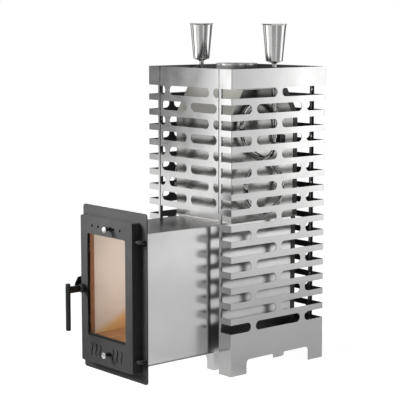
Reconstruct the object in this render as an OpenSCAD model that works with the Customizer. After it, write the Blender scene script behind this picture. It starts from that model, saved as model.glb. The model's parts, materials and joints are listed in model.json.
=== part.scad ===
// Wood-fired sauna heater stove: a square cage of slotted steel sheet round a firebox and a heater body,
// with a glazed door on a fuel channel, and two water cups that feed looped steam tubes.
// Millimetres, +Z up, door facing -Y, origin on the floor at the middle of the bounding box.

/* [Cage] */
// Width of the cage, across the door
cage_w = 415; // [390:1:460]
// Depth of the cage, from front to back
cage_d = 415; // [400:1:460]
// Thickness of the cage sheet
cage_t = 2; // [1:0.5:3]
// Solid band above the top row of slots
top_band = 62; // [40:1:90]
// Number of rows of slots
slot_rows = 16; // [12:1:18]
// Rows of slots in the front sheet, above the fuel channel
front_rows = 8; // [6:1:8]
// Height of one slot
slot_h = 30; // [26:1:32]
// Height of the bar between two rows of slots
bar_h = 20; // [16:1:24]
// Width of the upright web between two slots
web_w = 21; // [14:1:28]
// Distance of the outer webs from the middle of a sheet
web_offset = 110; // [100:1:112]
// Solid band under the lowest row of slots, down to the leg cut-out
skirt_h = 91; // [80:1:110]
// Height of the cut-out between two legs
leg_h = 47; // [40:1:60]
// Width of a leg
leg_w = 68; // [50:1:90]
// Radius in the upper corners of the leg cut-out
leg_r = 14; // [6:1:20]
// Width of the side sheet's flanges on the front and the back
flange_w = 58; // [50:1:64]
// Solid strip at a flange's free edge
flange_strip = 8; // [5:1:14]
// Depth of the folded returns where two sheets meet
return_d = 12; // [10:1:20]
// Solid strip at the edges of the front and back sheets
panel_strip = 12; // [8:1:14]

/* [Firebox] */
// Outside width of the firebox and the fuel channel
firebox_w = 244; // [220:1:260]
// Underside of the firebox above the floor
firebox_z = 62; // [58:1:80]
// Outside height of the firebox and the fuel channel
firebox_h = 419; // [400:1:440]
// Wall of the firebox and the fuel channel
firebox_t = 3; // [2:0.5:5]
// Distance from the cage's front to the firebox's front seam
firebox_inset = 46; // [40:1:60]
// Depth of the firebox inside the cage
firebox_d = 316; // [300:1:320]
// Length of the fuel channel in front of the cage
channel_l = 300; // [250:1:360]
// Side of the square throat between the firebox and the heater body
throat_w = 180; // [150:1:200]
// Width of the firebox stand
stand_w = 213; // [200:1:218]
// Width of one foot of the stand
foot_w = 34; // [25:1:45]
// Depth of the stand's folded sides
stand_d = 30; // [20:1:40]
// Distance of the stand's plates from the firebox's ends
stand_inset = 30; // [20:1:60]
// Thickness of the stand's plates
stand_t = 3; // [2:0.5:5]
// Radius in the corners of the stand's cut-out
stand_r = 28; // [10:1:40]
// Upper face of the hearth plate above the firebox's underside
hearth_h = 69; // [60:1:80]
// Length of the grate
grate_l = 216; // [180:1:230]
// Width of the grate
grate_w = 196; // [150:1:210]
// Thickness of the grate
grate_t = 10; // [6:1:16]
// Number of slots in the grate
grate_slots = 9; // [5:1:10]
// Gap between the ash drawer and the hearth plate's sides
drawer_gap = 6; // [4:1:20]
// Length of the ash drawer
drawer_l = 480; // [400:1:520]
// Height of the ash drawer
drawer_h = 50; // [40:1:54]

/* [Heater body] */
// Width of the heater body
body_w = 276; // [260:1:290]
// Depth of the heater body
body_d = 291; // [280:1:300]
// Height of the heater body's upright walls
body_h = 340; // [310:1:350]
// Height of the sloped top of the heater body
roof_h = 84; // [60:1:90]
// Depth of the flat roof
roof_d = 193; // [170:1:210]
// Wall of the heater body
body_t = 2; // [1:0.5:4]
// Thickness of the lip plate under the heater body
lip_t = 5; // [3:1:8]
// How far the lip plate stands out from the heater body
lip_out = 2; // [1:0.5:4]
// Height of the smoke baffle above the lip plate
baffle_z = 200; // [150:5:260]
// Smoke gap behind the smoke baffle
baffle_gap = 88; // [50:1:120]
// Width of the rear shields' side strips
shield_strip = 17; // [12:1:30]
// Thickness of the rear shields
shield_t = 1.5; // [1:0.5:2.5]
// Outside diameter of the flue collar
flue_d = 110; // [100:1:130]
// Wall of the flue collar
flue_t = 1.5; // [1:0.5:3]
// How far the flue collar stands out above the cage
flue_out = 10; // [5:1:40]
// Radius of the flue collar's flange
flue_flange_r = 68; // [60:1:76]

/* [Steam tubes] */
// Distance of a cup from the middle of the stove
cup_x = 180; // [174:1:186]
// Outside diameter of a cup's rim
cup_top_d = 80; // [60:1:90]
// Outside diameter of a cup at its foot
cup_foot_d = 55; // [40:1:60]
// Height of a cup's conical wall
cup_h = 117; // [90:1:150]
// Wall of a cup
cup_t = 1.2; // [1:0.1:2]
// Height of a cup's foot above the cage
cup_lift = 23; // [18:1:40]
// Outside diameter of the stems and the steam tubes
tube_d = 16; // [12:1:18]
// Wall of the stems and the steam tubes
tube_t = 1.5; // [1:0.5:2.5]
// Radius of each of the two loops of a steam coil
loop_r = 86; // [70:1:90]
// Half the distance between the centres of the two loops
loop_h = 94; // [92:1:104]
// Height of the crossing between the two loops above the lip plate
loop_z = 204; // [196:1:215]
// Distance of the loops' centre line in front of the cup
loop_front = 31; // [20:1:40]
// Gap between a coil and the heater body's wall
coil_gap = 7; // [4:0.5:8]
// Bend radius of the down tube into the coil
bend_r = 30; // [24:1:40]

/* [Door] */
// Width of the door plate
plate_w = 328; // [310:1:350]
// Height of the door plate
plate_h = 532; // [520:1:560]
// Underside of the door plate above the floor
plate_z = 18; // [10:1:24]
// Thickness of the door plate
plate_t = 4; // [3:0.5:6]
// Corner radius of the door plate
plate_r = 10; // [4:1:20]
// Width of the door leaf
leaf_w = 266; // [260:1:280]
// Height of the door leaf
leaf_h = 470; // [460:1:480]
// Underside of the door leaf above the floor
leaf_z = 51; // [46:1:56]
// Depth of the door leaf
leaf_d = 33; // [31:1:40]
// Sheet of the door leaf
leaf_t = 3; // [2:0.5:4]
// Corner radius of the door leaf
leaf_r = 6; // [4:1:10]
// Width of the window in the door leaf
window_w = 196; // [170:1:196]
// Height of the window in the door leaf
window_h = 327; // [300:1:330]
// Underside of the window above the door leaf's underside
window_z = 87; // [85:1:95]
// Corner radius of the window
window_r = 7; // [3:1:12]
// Thickness of the door glass
glass_t = 4; // [3:0.5:5]
// How far the door glass reaches behind the leaf all round
glass_lap = 8; // [6:1:8]
// Thickness of the seal in front of the door glass
seal_t = 4; // [1:0.5:5]
// Height of the seal's lower strip that shows in the window
seal_sill = 6; // [0:1:8]
// Width of the rope gasket
gasket_w = 8; // [6:1:9]

/* [Air sliders] */
// Height of the upper air holes above the door leaf's underside
holes_z = 441; // [440:1:444]
// Diameter of an upper air hole
hole_d = 8.5; // [4:0.5:9]
// Distance between two upper air holes
hole_pitch = 32; // [28:1:34]
// Height of the lower air slots' middle above the door leaf's underside
waves_z = 43; // [41:1:45]
// Height of a lower air slot
wave_h = 39; // [30:1:40]
// Width of a lower air slot
wave_w = 4.5; // [3:0.5:6]
// Sideways swing of a lower air slot
wave_swing = 3; // [1:0.5:4]
// Distance between two lower air slots
wave_pitch = 22; // [20:1:24]
// Travel of an air slider
slider_travel = 24; // [16:1:26]
// Sheet of an air slider
slider_t = 2; // [1.5:0.5:3]
// Place of the upper knob to the right of the door's middle
upper_knob_x = 25; // [22:1:26]
// Place of the lower knob to the right of the door's middle
lower_knob_x = 17; // [14:1:19]
// Diameter of a slider knob
knob_d = 20; // [14:1:24]
// How far a slider knob stands out from the door leaf
knob_out = 27; // [20:1:34]

/* [Hinges and handle] */
// Height of the upper hinge above the door leaf's underside
hinge_top_z = 414; // [380:1:420]
// Height of the lower hinge above the door leaf's underside
hinge_low_z = 42; // [36:1:70]
// Distance of the hinge axis from the door leaf's side
hinge_out = 17; // [15:1:18]
// Radius of a hinge lug
lug_r = 9; // [7:0.5:11]
// Thickness of one fixed hinge lug
lug_t = 3; // [3:0.5:5]
// Diameter of a hinge pin
hinge_pin_d = 6; // [5:0.5:8]
// Distance of the handle's shaft from the door leaf's free side
shaft_inset = 18.5; // [16:0.5:18.5]
// Height of the handle's shaft above the door leaf's underside
shaft_z = 236; // [200:1:260]
// Diameter of the handle's shaft
shaft_d = 10; // [8:0.5:11]
// Radius of the handle's round boss
boss_r = 14; // [12:0.5:18]
// Distance of the grip's axis in front of the door leaf
grip_out = 65; // [50:1:80]
// Diameter of the grip
grip_d = 16; // [12:1:20]
// Length of the grip
grip_l = 152; // [120:1:180]
// Height of the grip's top above the shaft
grip_rise = 21; // [16:1:40]
// Length of the latch tongue from the shaft's axis
tongue_l = 30; // [28:1:32]

/* [Hidden] */
// Clearances
fit = 0.05;
seat = 0.3;
slide_gap = 0.5;
panel_gap = 0.5;
e = 1;

// Heights of the cage
row_step = slot_h + bar_h;
cage_h = leg_h + skirt_h + slot_rows * row_step - bar_h + top_band;
front_panel_z = cage_h - top_band - front_rows * row_step;
panel_w = cage_w - 2 * flange_w - 2 * panel_gap;

// Planes along Y: the cage's front, then the door's layers in front of it
front_reach = channel_l + plate_t + leaf_d + grip_out + grip_d / 2;
cage_y = (front_reach - cage_d) / 2;
mid_y = cage_y + cage_d / 2;
plate_y = cage_y - channel_l;
plate_face = plate_y - plate_t;
leaf_face = plate_face - leaf_d;
leaf_back = plate_face - 2 * seat;
leaf_in = leaf_face + leaf_t;
grip_y = leaf_face - grip_out;

// Heights of the inner bodies
firebox_y = cage_y + firebox_inset;
firebox_top = firebox_z + firebox_h;
hearth_top = firebox_z + hearth_h;
body_z = firebox_top + lip_t;
shoulder_z = body_z + body_h;
roof_z = shoulder_z + roof_h;
roof_slope = atan((body_d - roof_d) / 2 / roof_h);
flue_top = cage_h + flue_out;

// Base rail with a tab on each side, and the stand
rail_w = 38;
rail_t = 3;
tab_drop = 14;
tab_hole_r = 3;
stand_arch = 10;

// Hearth plate, grate and ash drawer inside the firebox
hearth_t = 3;
hearth_inset = 6;
hearth_gap = 2;
hearth_y0 = plate_y + hearth_inset;
hearth_y1 = firebox_y + firebox_d - firebox_t - hearth_gap;
hearth_w = firebox_w - 2 * firebox_t - 2 * seat;
grate_lap = 8;
grate_rim = 14;
grate_side = 10;
drawer_w = hearth_w - 2 * hearth_t - 2 * drawer_gap;
drawer_t = 1.5;
pull_w = 60;
pull_out = 5;
pull_z = 24;
pull_h = 8;
pull_t = 2;

// Smoke baffle, shields and flue collar
baffle_t = 4;
baffle_lip = 20;
flue_sunk = 8;
flue_flange_t = 3;

// Seams between the sheets, held by rivets
rivet_r = 2;
rivet_head_r = 3.6;
rivet_head_t = 1.2;
front_rivets = 4;
back_rivets = 6;
seam_x = cage_w / 2 - flange_w;
seam_in = return_d * 0.6;

// Steam coil: the down tube bends into the lower loop, crosses itself and climbs into the upper loop
tube_r = tube_d / 2;
coil_mid_z = body_z + loop_z;
coil_near_x = body_w / 2 + coil_gap + tube_r;
coil_climb = 4;
coil_cross_x = coil_near_x + coil_climb;
coil_lead = 40;
cross_angle = asin(loop_r / loop_h);
bend_z = loop_front / tan(cross_angle) + bend_r * tan(cross_angle / 2);
coil_start = bend_z + coil_lead;
coil_drop = 34;
tube_sides = 6;
loop_rings = 24;
nut_r = 13;
nut_h = 22;
nut_drop = 40;
nut_z = cage_h - nut_drop;
tube_top = nut_z + nut_h / 2;
tube_low = coil_mid_z + coil_start;
sleeve_r = 11;
sleeve_h = 20;
clip_t = 4;
clip_half = 6;
clip_foot = 12;
clip_foot_t = 2;
clip_foot_drop = 8;
clip_z = cage_h - top_band - 2 * row_step + (bar_h - clip_t) / 2;
socket_w = 24;
socket_h = 26;
socket_deep = 10;
socket_floor = 6;
socket_y = mid_y - loop_front + loop_r;
socket_top = coil_mid_z + loop_h - coil_drop + socket_deep;

// Cups
cup_foot_z = cage_h + cup_lift;
stem_low = tube_top + seat;
foot_cone = 9;
foot_edge = 2;
rim_flare = 2.5;
rim_h = 3;

// Door: window, glass and gasket layers behind the leaf's front
window_low = leaf_z + window_z;
glass_play = 1;
glass_face = leaf_in + seal_t;
glass_back = glass_face + glass_t;
frame_t = 2;
gasket_y = leaf_back - gasket_w;
frame_y = gasket_y - frame_t;
gasket_inset = 4;
gasket_room = 6;
frame_rim = 1.5;
frame_rim_h = frame_t + 0.4 * gasket_w;
liner_t = 1.5;
liner_gap = 0.5;
spring_w = 24;
spring_len = 16;
spring_t = 2;
spring_hook = 6;
spring_gap = 1;
spring_screw = 9;
screw_r = 2;
screw_head_r = 3.5;
screw_head_h = 2.5;
plate_frame = 10;
plate_hole_w = firebox_w - 2 * plate_frame;
plate_hole_low = firebox_z + firebox_t;
plate_hole_top = firebox_top - plate_frame;
spring_spots = [
    for (side = [-1, 1], z = [0.15, 0.5, 0.85])
        if (side > 0 || z != 0.5) [side, window_low + z * window_h]
];

// Hinges and handle
hinge_x = leaf_w / 2 + hinge_out;
hinge_forward = 1.5;
hinge_y = leaf_face + leaf_d / 2 - hinge_forward;
hinge_levels = [leaf_z + hinge_low_z, leaf_z + hinge_top_z];
leaf_lug_t = 4;
knuckle_step = 1;
knuckle_r = lug_r - knuckle_step;
lug_gap = slide_gap / 2;
pin_r = hinge_pin_d / 2;
pin_head_r = 4.5;
pin_head_t = 1.5;
pin_tail = 1;
shaft_x = -leaf_w / 2 + shaft_inset;
axis_z = leaf_z + shaft_z;
tongue_t = 5;
tongue_w = 14;
tongue_tip = 2;
tongue_step = 3;
tongue_eye_r = 12;
tongue_y = leaf_face - 1;
boss_out = 12;
boss_y = leaf_face - boss_out;
boss_flat = 3;
boss_steps = 12;
arm_h = 20;
arm_w = 12;
arm_lap = 4;
grip_edge = 1.5;
bush_wall = 2;
bush_r = shaft_d / 2 + bush_wall;
bush_flange = 1.2;
bush_flange_r = bush_r + bush_flange;
bush_flange_t = 2.5;
bush_out = 0.4;
bush_depth = 8;
bush_end = leaf_in + bush_depth;
washer_t = 1.5;
washer_r = 9;
shaft_nut_t = 6;
shaft_nut_r = 8.5;
shaft_end = 2;
keeper_x = shaft_x - tongue_l - 2 * seat;
keeper_t = 4;
keeper_nose = 4;
keeper_nose_h = 16;
keeper_nose_t = 5;
keeper_low = 12;
keeper_mid = 29;
keeper_high = 34;

// Air sliders
upper_z = leaf_z + holes_z;
lower_z = leaf_z + waves_z;
upper_slider_h = 20;
lower_slider_h = 47;
guide_h = 3;
guide_lip = 2.5;
guide_t = 1.5;
guide_short = 10;
slider_face = leaf_in + slide_gap;
hole_places = [-2.25, -1.25, 1.25, 2.25];
wave_places = [1.5, 2.5, 3.5];
slider_edge = 18;
upper_half = max(hole_places) * hole_pitch + slider_edge;
lower_half = max(wave_places) * wave_pitch + slider_edge;
lower_right = slider_travel / 3;
stem_r = 3;
stem_seat = 0.8;
stem_neck = 0.2;
stem_base_r = 7;
knob_t = 3;
knob_edge = 1;
wave_steps = 14;

// Shared shapes

// A plate that stands across X: its outline is drawn in X and Z, from plane y towards +Y
module plate_xz(y, t) {
    translate([0, y + t, 0]) rotate([90, 0, 0]) linear_extrude(t) children();
}

// A plate that stands along Y: its outline is drawn in Y and Z, from plane x towards +X
module plate_yz(x, t) {
    translate([x, 0, 0]) rotate([90, 0, 90]) linear_extrude(t) children();
}

module box(low, high) {
    translate(low) cube(high - low);
}

module round_rect(low, size, r) {
    translate(low + [r, 0]) square([size[0] - 2 * r, size[1]]);
    translate(low + [0, r]) square([size[0], size[1] - 2 * r]);
    for (i = [0, 1], j = [0, 1])
        translate(low + [r + i * (size[0] - 2 * r), r + j * (size[1] - 2 * r)]) circle(r, $fn = 32);
}

module rod_x(x0, x1, r) {
    translate([x0, 0, 0]) rotate([0, 90, 0]) cylinder(h = x1 - x0, r = r, $fn = 32);
}

module rod_y(y0, y1, r) {
    translate([0, y0, 0]) rotate([-90, 0, 0]) cylinder(h = y1 - y0, r = r, $fn = 48);
}

// Half outline of a round bar with both of its edges cut back by c
module rod_profile(r, h, c) {
    polygon([[0, 0], [r - c, 0], [r, c], [r, h - c], [r - c, h], [0, h]]);
}

module both_sides() {
    for (side = [0, 1]) mirror([side, 0, 0]) children();
}

// Slots of the cage

function slot_mid(row) = cage_h - top_band - row * row_step - slot_h / 2;

module slot(x0, x1, z, round0, round1) {
    r = slot_h / 2;
    start = x0 + (round0 ? r : 0);
    end = x1 - (round1 ? r : 0);
    translate([start, z - r]) square([end - start, slot_h]);
    if (round0) translate([start, z]) circle(r, $fn = 40);
    if (round1) translate([end, z]) circle(r, $fn = 40);
}

// One row with a web in the middle
module middle_web_row(reach, z, round_ends) {
    slot(-reach, -web_w / 2, z, round_ends, true);
    slot(web_w / 2, reach, z, true, round_ends);
}

// One row with a web on each side of the middle
module outer_web_row(reach, z, round_ends) {
    inner = web_offset - web_w / 2;
    outer = web_offset + web_w / 2;
    slot(-inner, inner, z, true, true);
    slot(-reach, -outer, z, round_ends, true);
    slot(outer, reach, z, true, round_ends);
}

module leg_cut(span) {
    inner = span / 2 - leg_w;
    translate([-inner, -e]) square([2 * inner, leg_h + e - leg_r]);
    translate([-inner + leg_r, -e]) square([2 * (inner - leg_r), leg_h + e]);
    for (side = [-1, 1]) translate([side * (inner - leg_r), leg_h - leg_r]) circle(leg_r, $fn = 32);
}

// Heights of the rivets in a seam between two heights
function rivet_heights(low, high, count) = [for (i = [0 : count - 1]) low + (high - low) * (i + 0.5) / count];
front_rivet_z = rivet_heights(front_panel_z, cage_h, front_rivets);
back_rivet_z = rivet_heights(leg_h, cage_h, back_rivets);

module at_rivets() {
    for (z = front_rivet_z) translate([0, cage_y + seam_in, z]) children();
    for (z = back_rivet_z) translate([0, cage_y + cage_d - seam_in, z]) children();
}

module rivet_holes() {
    at_rivets() rod_x(panel_w / 2 - cage_t - e, seam_x + cage_t + e, rivet_r + fit);
}

// Cage

module side_face() {
    difference() {
        translate([-cage_d / 2, 0]) square([cage_d, cage_h]);
        leg_cut(cage_d);
        for (row = [0 : slot_rows - 1])
            if (row % 2 == 0) middle_web_row(cage_d / 2 + e, slot_mid(row), false);
            else outer_web_row(cage_d / 2 + e, slot_mid(row), false);
    }
}

module flange_face() {
    difference() {
        translate([seam_x, 0]) square([flange_w, cage_h]);
        for (row = [0 : slot_rows - 1])
            slot(seam_x + flange_strip, cage_w / 2 + e, slot_mid(row), false, false);
    }
}

module cage_side() {
    difference() {
        union() {
            translate([0, mid_y, 0]) plate_yz(cage_w / 2 - cage_t, cage_t) side_face();
            plate_xz(cage_y, cage_t) flange_face();
            plate_xz(cage_y + cage_d - cage_t, cage_t) flange_face();
            box([seam_x, cage_y, leg_h], [seam_x + cage_t, cage_y + return_d, cage_h]);
            box([seam_x, cage_y + cage_d - return_d, leg_h], [seam_x + cage_t, cage_y + cage_d, cage_h]);
        }
        rivet_holes();
    }
}

module cage_right() { color("silver") cage_side(); }
module cage_left() { color("silver") mirror([1, 0, 0]) cage_side(); }

// Outline of the front or back sheet, with its slots; paired is for a sheet whose even rows have two webs
module panel_face(low, rows, paired) {
    reach = panel_w / 2 - panel_strip;
    difference() {
        translate([-panel_w / 2, low]) square([panel_w, cage_h - low]);
        for (row = [0 : rows - 1]) {
            round_ends = row % 2 == 1;
            if (paired && !round_ends) outer_web_row(reach, slot_mid(row), round_ends);
            else middle_web_row(reach, slot_mid(row), round_ends);
        }
    }
}

module panel_returns(low, y0, y1) {
    both_sides() box([panel_w / 2 - cage_t, y0, low], [panel_w / 2, y1, cage_h]);
}

module cage_front() {
    color("silver") difference() {
        union() {
            plate_xz(cage_y, cage_t) panel_face(front_panel_z, front_rows, true);
            panel_returns(front_panel_z, cage_y, cage_y + return_d);
        }
        both_sides() rivet_holes();
    }
}

module cage_back() {
    back = cage_y + cage_d;
    color("silver") difference() {
        union() {
            plate_xz(back - cage_t, cage_t) panel_face(leg_h, slot_rows, false);
            panel_returns(leg_h, back - return_d, back);
        }
        both_sides() rivet_holes();
    }
}

module rivet() {
    low = panel_w / 2 - cage_t;
    high = seam_x + cage_t;
    rod_x(low - rivet_head_t, high + rivet_head_t, rivet_r);
    rod_x(low - rivet_head_t, low, rivet_head_r);
    rod_x(high, high + rivet_head_t, rivet_head_r);
}

module cage_rivets() {
    color("gray") both_sides() at_rivets() rivet();
}

// Base

module base_rail() {
    x = cage_w / 2 - cage_t;
    front = mid_y - rail_w / 2;
    back = mid_y + rail_w / 2;
    color("silver") difference() {
        union() {
            box([-x, front, firebox_z - rail_t], [x, back, firebox_z]);
            both_sides() box([x - rail_t, front, leg_h - tab_drop], [x, back, firebox_z]);
        }
        both_sides() translate([0, mid_y, leg_h - tab_drop / 2]) rod_x(x - rail_t - e, x + e, tab_hole_r);
    }
}

// Stand plate with two feet and a rounded cut-out, folded back along its sides
module stand(y, fold) {
    inner = stand_w / 2 - foot_w;
    r = stand_r;
    top = firebox_z - stand_arch;
    y1 = y + fold * stand_d;
    color("silver") {
        plate_xz(y + (fold < 0 ? -stand_t : 0), stand_t) difference() {
            translate([-stand_w / 2, 0]) square([stand_w, firebox_z]);
            translate([-inner, -e]) square([2 * inner, top + e - r]);
            translate([-inner + r, -e]) square([2 * (inner - r), top + e]);
            for (side = [-1, 1]) translate([side * (inner - r), top - r]) circle(r, $fn = 40);
        }
        both_sides() box([stand_w / 2 - stand_t, min(y, y1), 0], [stand_w / 2, max(y, y1), firebox_z]);
    }
}

module stand_front() { stand(firebox_y - stand_inset, 1); }
module stand_rear() { stand(firebox_y + firebox_d - stand_inset, -1); }

// Firebox

module square_tube(y0, y1) {
    w = firebox_w / 2;
    t = firebox_t;
    difference() {
        box([-w, y0, firebox_z], [w, y1, firebox_top]);
        box([-w + t, y0 - e, firebox_z + t], [w - t, y1 + e, firebox_top - t]);
    }
}

module firebox() {
    color("silver") difference() {
        union() {
            square_tube(firebox_y, firebox_y + firebox_d);
            box([-firebox_w / 2, firebox_y + firebox_d - firebox_t, firebox_z],
                [firebox_w / 2, firebox_y + firebox_d, firebox_top]);
        }
        box([-throat_w / 2, mid_y - throat_w / 2, firebox_top - 2 * firebox_t],
            [throat_w / 2, mid_y + throat_w / 2, firebox_top + e]);
    }
}

module fuel_channel() { color("silver") square_tube(plate_y, firebox_y); }

module hearth_plate() {
    floor_z = firebox_z + firebox_t;
    color("dimgray") {
        difference() {
            box([-hearth_w / 2, hearth_y0, hearth_top - hearth_t], [hearth_w / 2, hearth_y1, hearth_top]);
            box([-grate_w / 2 + grate_lap, mid_y - grate_l / 2 + grate_lap, hearth_top - hearth_t - e],
                [grate_w / 2 - grate_lap, mid_y + grate_l / 2 - grate_lap, hearth_top + e]);
        }
        both_sides()
            box([hearth_w / 2 - hearth_t, hearth_y0, floor_z], [hearth_w / 2, hearth_y1, hearth_top]);
    }
}

module grate() {
    pitch = (grate_w - 2 * grate_side) / grate_slots;
    color("dimgray") difference() {
        box([-grate_w / 2, mid_y - grate_l / 2, hearth_top],
            [grate_w / 2, mid_y + grate_l / 2, hearth_top + grate_t]);
        for (i = [0 : grate_slots - 1], j = [-1, 1]) {
            x = (i - (grate_slots - 1) / 2) * pitch;
            y = mid_y + j * grate_l / 4;
            half = grate_l / 4 - grate_rim;
            box([x - pitch / 4, y - half, hearth_top - e],
                [x + pitch / 4, y + half, hearth_top + grate_t + e]);
        }
    }
}

module ash_drawer() {
    low = firebox_z + firebox_t;
    y0 = hearth_y0 + hearth_gap;
    t = drawer_t;
    w = drawer_w / 2;
    pull = pull_w / 2;
    z0 = low + pull_z;
    color("gray") {
        difference() {
            box([-w, y0, low], [w, y0 + drawer_l, low + drawer_h]);
            box([-w + t, y0 + t, low + t], [w - t, y0 + drawer_l - t, low + drawer_h + e]);
        }
        difference() {
            box([-pull, y0 - pull_out, z0], [pull, y0, z0 + pull_h]);
            box([-pull + 3 * pull_t, y0 - pull_out + pull_t, z0 - e],
                [pull - 3 * pull_t, y0, z0 + pull_h + e]);
        }
    }
}

// Heater body

// Outline of the heater body seen from the side, drawn inside by an inset
module body_outline(inset, low) {
    half = body_d / 2 - inset;
    roof_half = roof_d / 2 - inset * tan((90 - roof_slope) / 2);
    shoulder = shoulder_z - inset * tan(roof_slope / 2);
    polygon([
        [-half, low], [half, low], [half, shoulder],
        [roof_half, roof_z - inset], [-roof_half, roof_z - inset], [-half, shoulder]
    ]);
}

module lip_plate() {
    w = body_w / 2 + lip_out;
    d = body_d / 2 + lip_out;
    color("whitesmoke") difference() {
        box([-w, mid_y - d, firebox_top], [w, mid_y + d, body_z]);
        box([-throat_w / 2, mid_y - throat_w / 2, firebox_top - e],
            [throat_w / 2, mid_y + throat_w / 2, body_z + e]);
    }
}

module heater_body() {
    w = body_w / 2;
    color("silver") translate([0, mid_y, 0]) difference() {
        plate_yz(-w, 2 * w) body_outline(0, body_z);
        plate_yz(-w + body_t, 2 * (w - body_t)) body_outline(body_t, body_z - e);
        translate([0, 0, roof_z - 2 * body_t]) cylinder(h = 3 * body_t, r = flue_d / 2 + seat, $fn = 96);
    }
}

// Rear edge of the body's outline: a band that follows it, from offset a to offset b outside it
module rear_band(a, b) {
    over = shield_t;
    function edge(o) = [
        [body_d / 2 + o, body_z],
        [body_d / 2 + o, shoulder_z + o * tan(roof_slope / 2)],
        [roof_d / 2 + o / cos(roof_slope) - over * tan(roof_slope), roof_z + over]
    ];
    outer = edge(b);
    inner = edge(a);
    intersection() {
        polygon(concat(outer, [inner[2], inner[1], inner[0]]));
        translate([0, body_z]) square([body_d, roof_z - body_z]);
    }
}

module body_shield() {
    w = body_w / 2;
    color("dimgray") translate([0, mid_y, 0]) {
        plate_yz(-w - shield_t, body_w + 2 * shield_t) rear_band(0, shield_t);
        both_sides() plate_yz(w, shield_t) rear_band(-shield_strip, shield_t);
    }
}

module firebox_shield() {
    w = firebox_w / 2;
    y = firebox_y + firebox_d;
    color("dimgray") {
        box([-w - shield_t, y, firebox_z], [w + shield_t, y + shield_t, firebox_top]);
        both_sides() box([w, y - shield_strip, firebox_z], [w + shield_t, y + shield_t, firebox_top]);
    }
}

module smoke_baffle() {
    w = body_w / 2 - body_t;
    front = mid_y - body_d / 2 + body_t;
    rear = mid_y + body_d / 2 - body_t - baffle_gap;
    low = body_z + baffle_z;
    color("dimgray") {
        box([-w, front, low], [w, rear, low + baffle_t]);
        box([-w, rear - baffle_t, low - baffle_lip], [w, rear, low]);
    }
}

module flue_collar() {
    low = roof_z - flue_sunk;
    color("silver") translate([0, mid_y, 0]) difference() {
        union() {
            translate([0, 0, low]) cylinder(h = flue_top - low, r = flue_d / 2, $fn = 96);
            translate([0, 0, roof_z]) cylinder(h = flue_flange_t, r = flue_flange_r, $fn = 96);
        }
        translate([0, 0, low - e]) cylinder(h = flue_top - low + 2 * e, r = flue_d / 2 - flue_t, $fn = 96);
    }
}

// Steam tubes

module steam_tube() {
    translate([cup_x, mid_y, tube_low]) difference() {
        cylinder(h = tube_top - tube_low, r = tube_r, $fn = 48);
        translate([0, 0, -e]) cylinder(h = tube_top - tube_low + 2 * e, r = tube_r - tube_t, $fn = 48);
    }
}

// Centre line of the coil in [x, y, z], y and z measured from the crossing
function arc_points(cy, cz, r, a0, a1, x0, x1, n) = [
    for (i = [0 : n]) let (f = i / n, a = a0 + (a1 - a0) * f)
        [x0 + (x1 - x0) * f, cy + r * cos(a), cz + r * sin(a)]
];
path_top = [[cup_x, loop_front, coil_start], [cup_x, loop_front, (coil_start + bend_z) / 2]];
path_bend = arc_points(loop_front - bend_r, bend_z, bend_r, 0, -cross_angle, cup_x, cup_x, 6);
path_lower = arc_points(0, -loop_h, loop_r, 180 - cross_angle, 360 + cross_angle,
    cup_x, coil_cross_x, loop_rings);
path_upper = arc_points(0, loop_h, loop_r, 180 + cross_angle, 0,
    coil_cross_x, coil_near_x, loop_rings);
path_end = [[coil_near_x, loop_r, loop_h - coil_drop / 2], [coil_near_x, loop_r, loop_h - coil_drop]];
coil_path = concat(path_top, path_bend, [[cup_x, 0, 0]], path_lower,
    [[coil_cross_x, 0, 0]], path_upper, path_end);

function unit(v) = v / norm(v);
function heading(p, i) = unit(
    i == 0 ? p[1] - p[0] :
    i == len(p) - 1 ? p[i] - p[i - 1] :
    unit(p[i + 1] - p[i]) + unit(p[i] - p[i - 1])
);
// One ring round each point, square to the path
function ring(p, i, r, sides) = let (
    t = heading(p, i),
    u = unit(cross(t, [1, 0, 0])),
    v = cross(t, u)
) [for (k = [0 : sides - 1]) p[i] + r * (cos(k * 360 / sides) * u + sin(k * 360 / sides) * v)];

module swept_tube(p, r, sides) {
    n = len(p);
    points = [for (i = [0 : n - 1]) each ring(p, i, r, sides)];
    walls = [
        for (i = [0 : n - 2], k = [0 : sides - 1])
            let (a = i * sides + k, b = i * sides + (k + 1) % sides)
                each [[a, b, b + sides], [a, b + sides, a + sides]]
    ];
    start = [for (k = [1 : sides - 2]) [0, k + 1, k]];
    last = (n - 1) * sides;
    end = [for (k = [1 : sides - 2]) [last, last + k, last + k + 1]];
    polyhedron(points, concat(walls, start, end));
}

// Least gap between two stretches of the coil that lie apart along it
coil_step = 6;
self_gaps = [
    for (i = [0 : len(coil_path) - 1 - coil_step], j = [i + coil_step : len(coil_path) - 1])
        norm(coil_path[i] - coil_path[j]) - tube_d
];
echo("least gap of a steam coil to itself", min(self_gaps));

module steam_coil() {
    translate([0, mid_y - loop_front, coil_mid_z]) swept_tube(coil_path, tube_r, tube_sides);
}

module coil_socket() {
    difference() {
        box([body_w / 2, socket_y - socket_w / 2, socket_top - socket_h],
            [coil_near_x + socket_w / 2, socket_y + socket_w / 2, socket_top]);
        translate([coil_near_x, socket_y, socket_top - socket_deep])
            cylinder(h = socket_deep + e, r = tube_r + seat, $fn = 48);
        translate([coil_near_x, socket_y, socket_top - socket_h + socket_floor])
            cylinder(h = socket_h, r = tube_r - tube_t, $fn = 48);
    }
}

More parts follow.
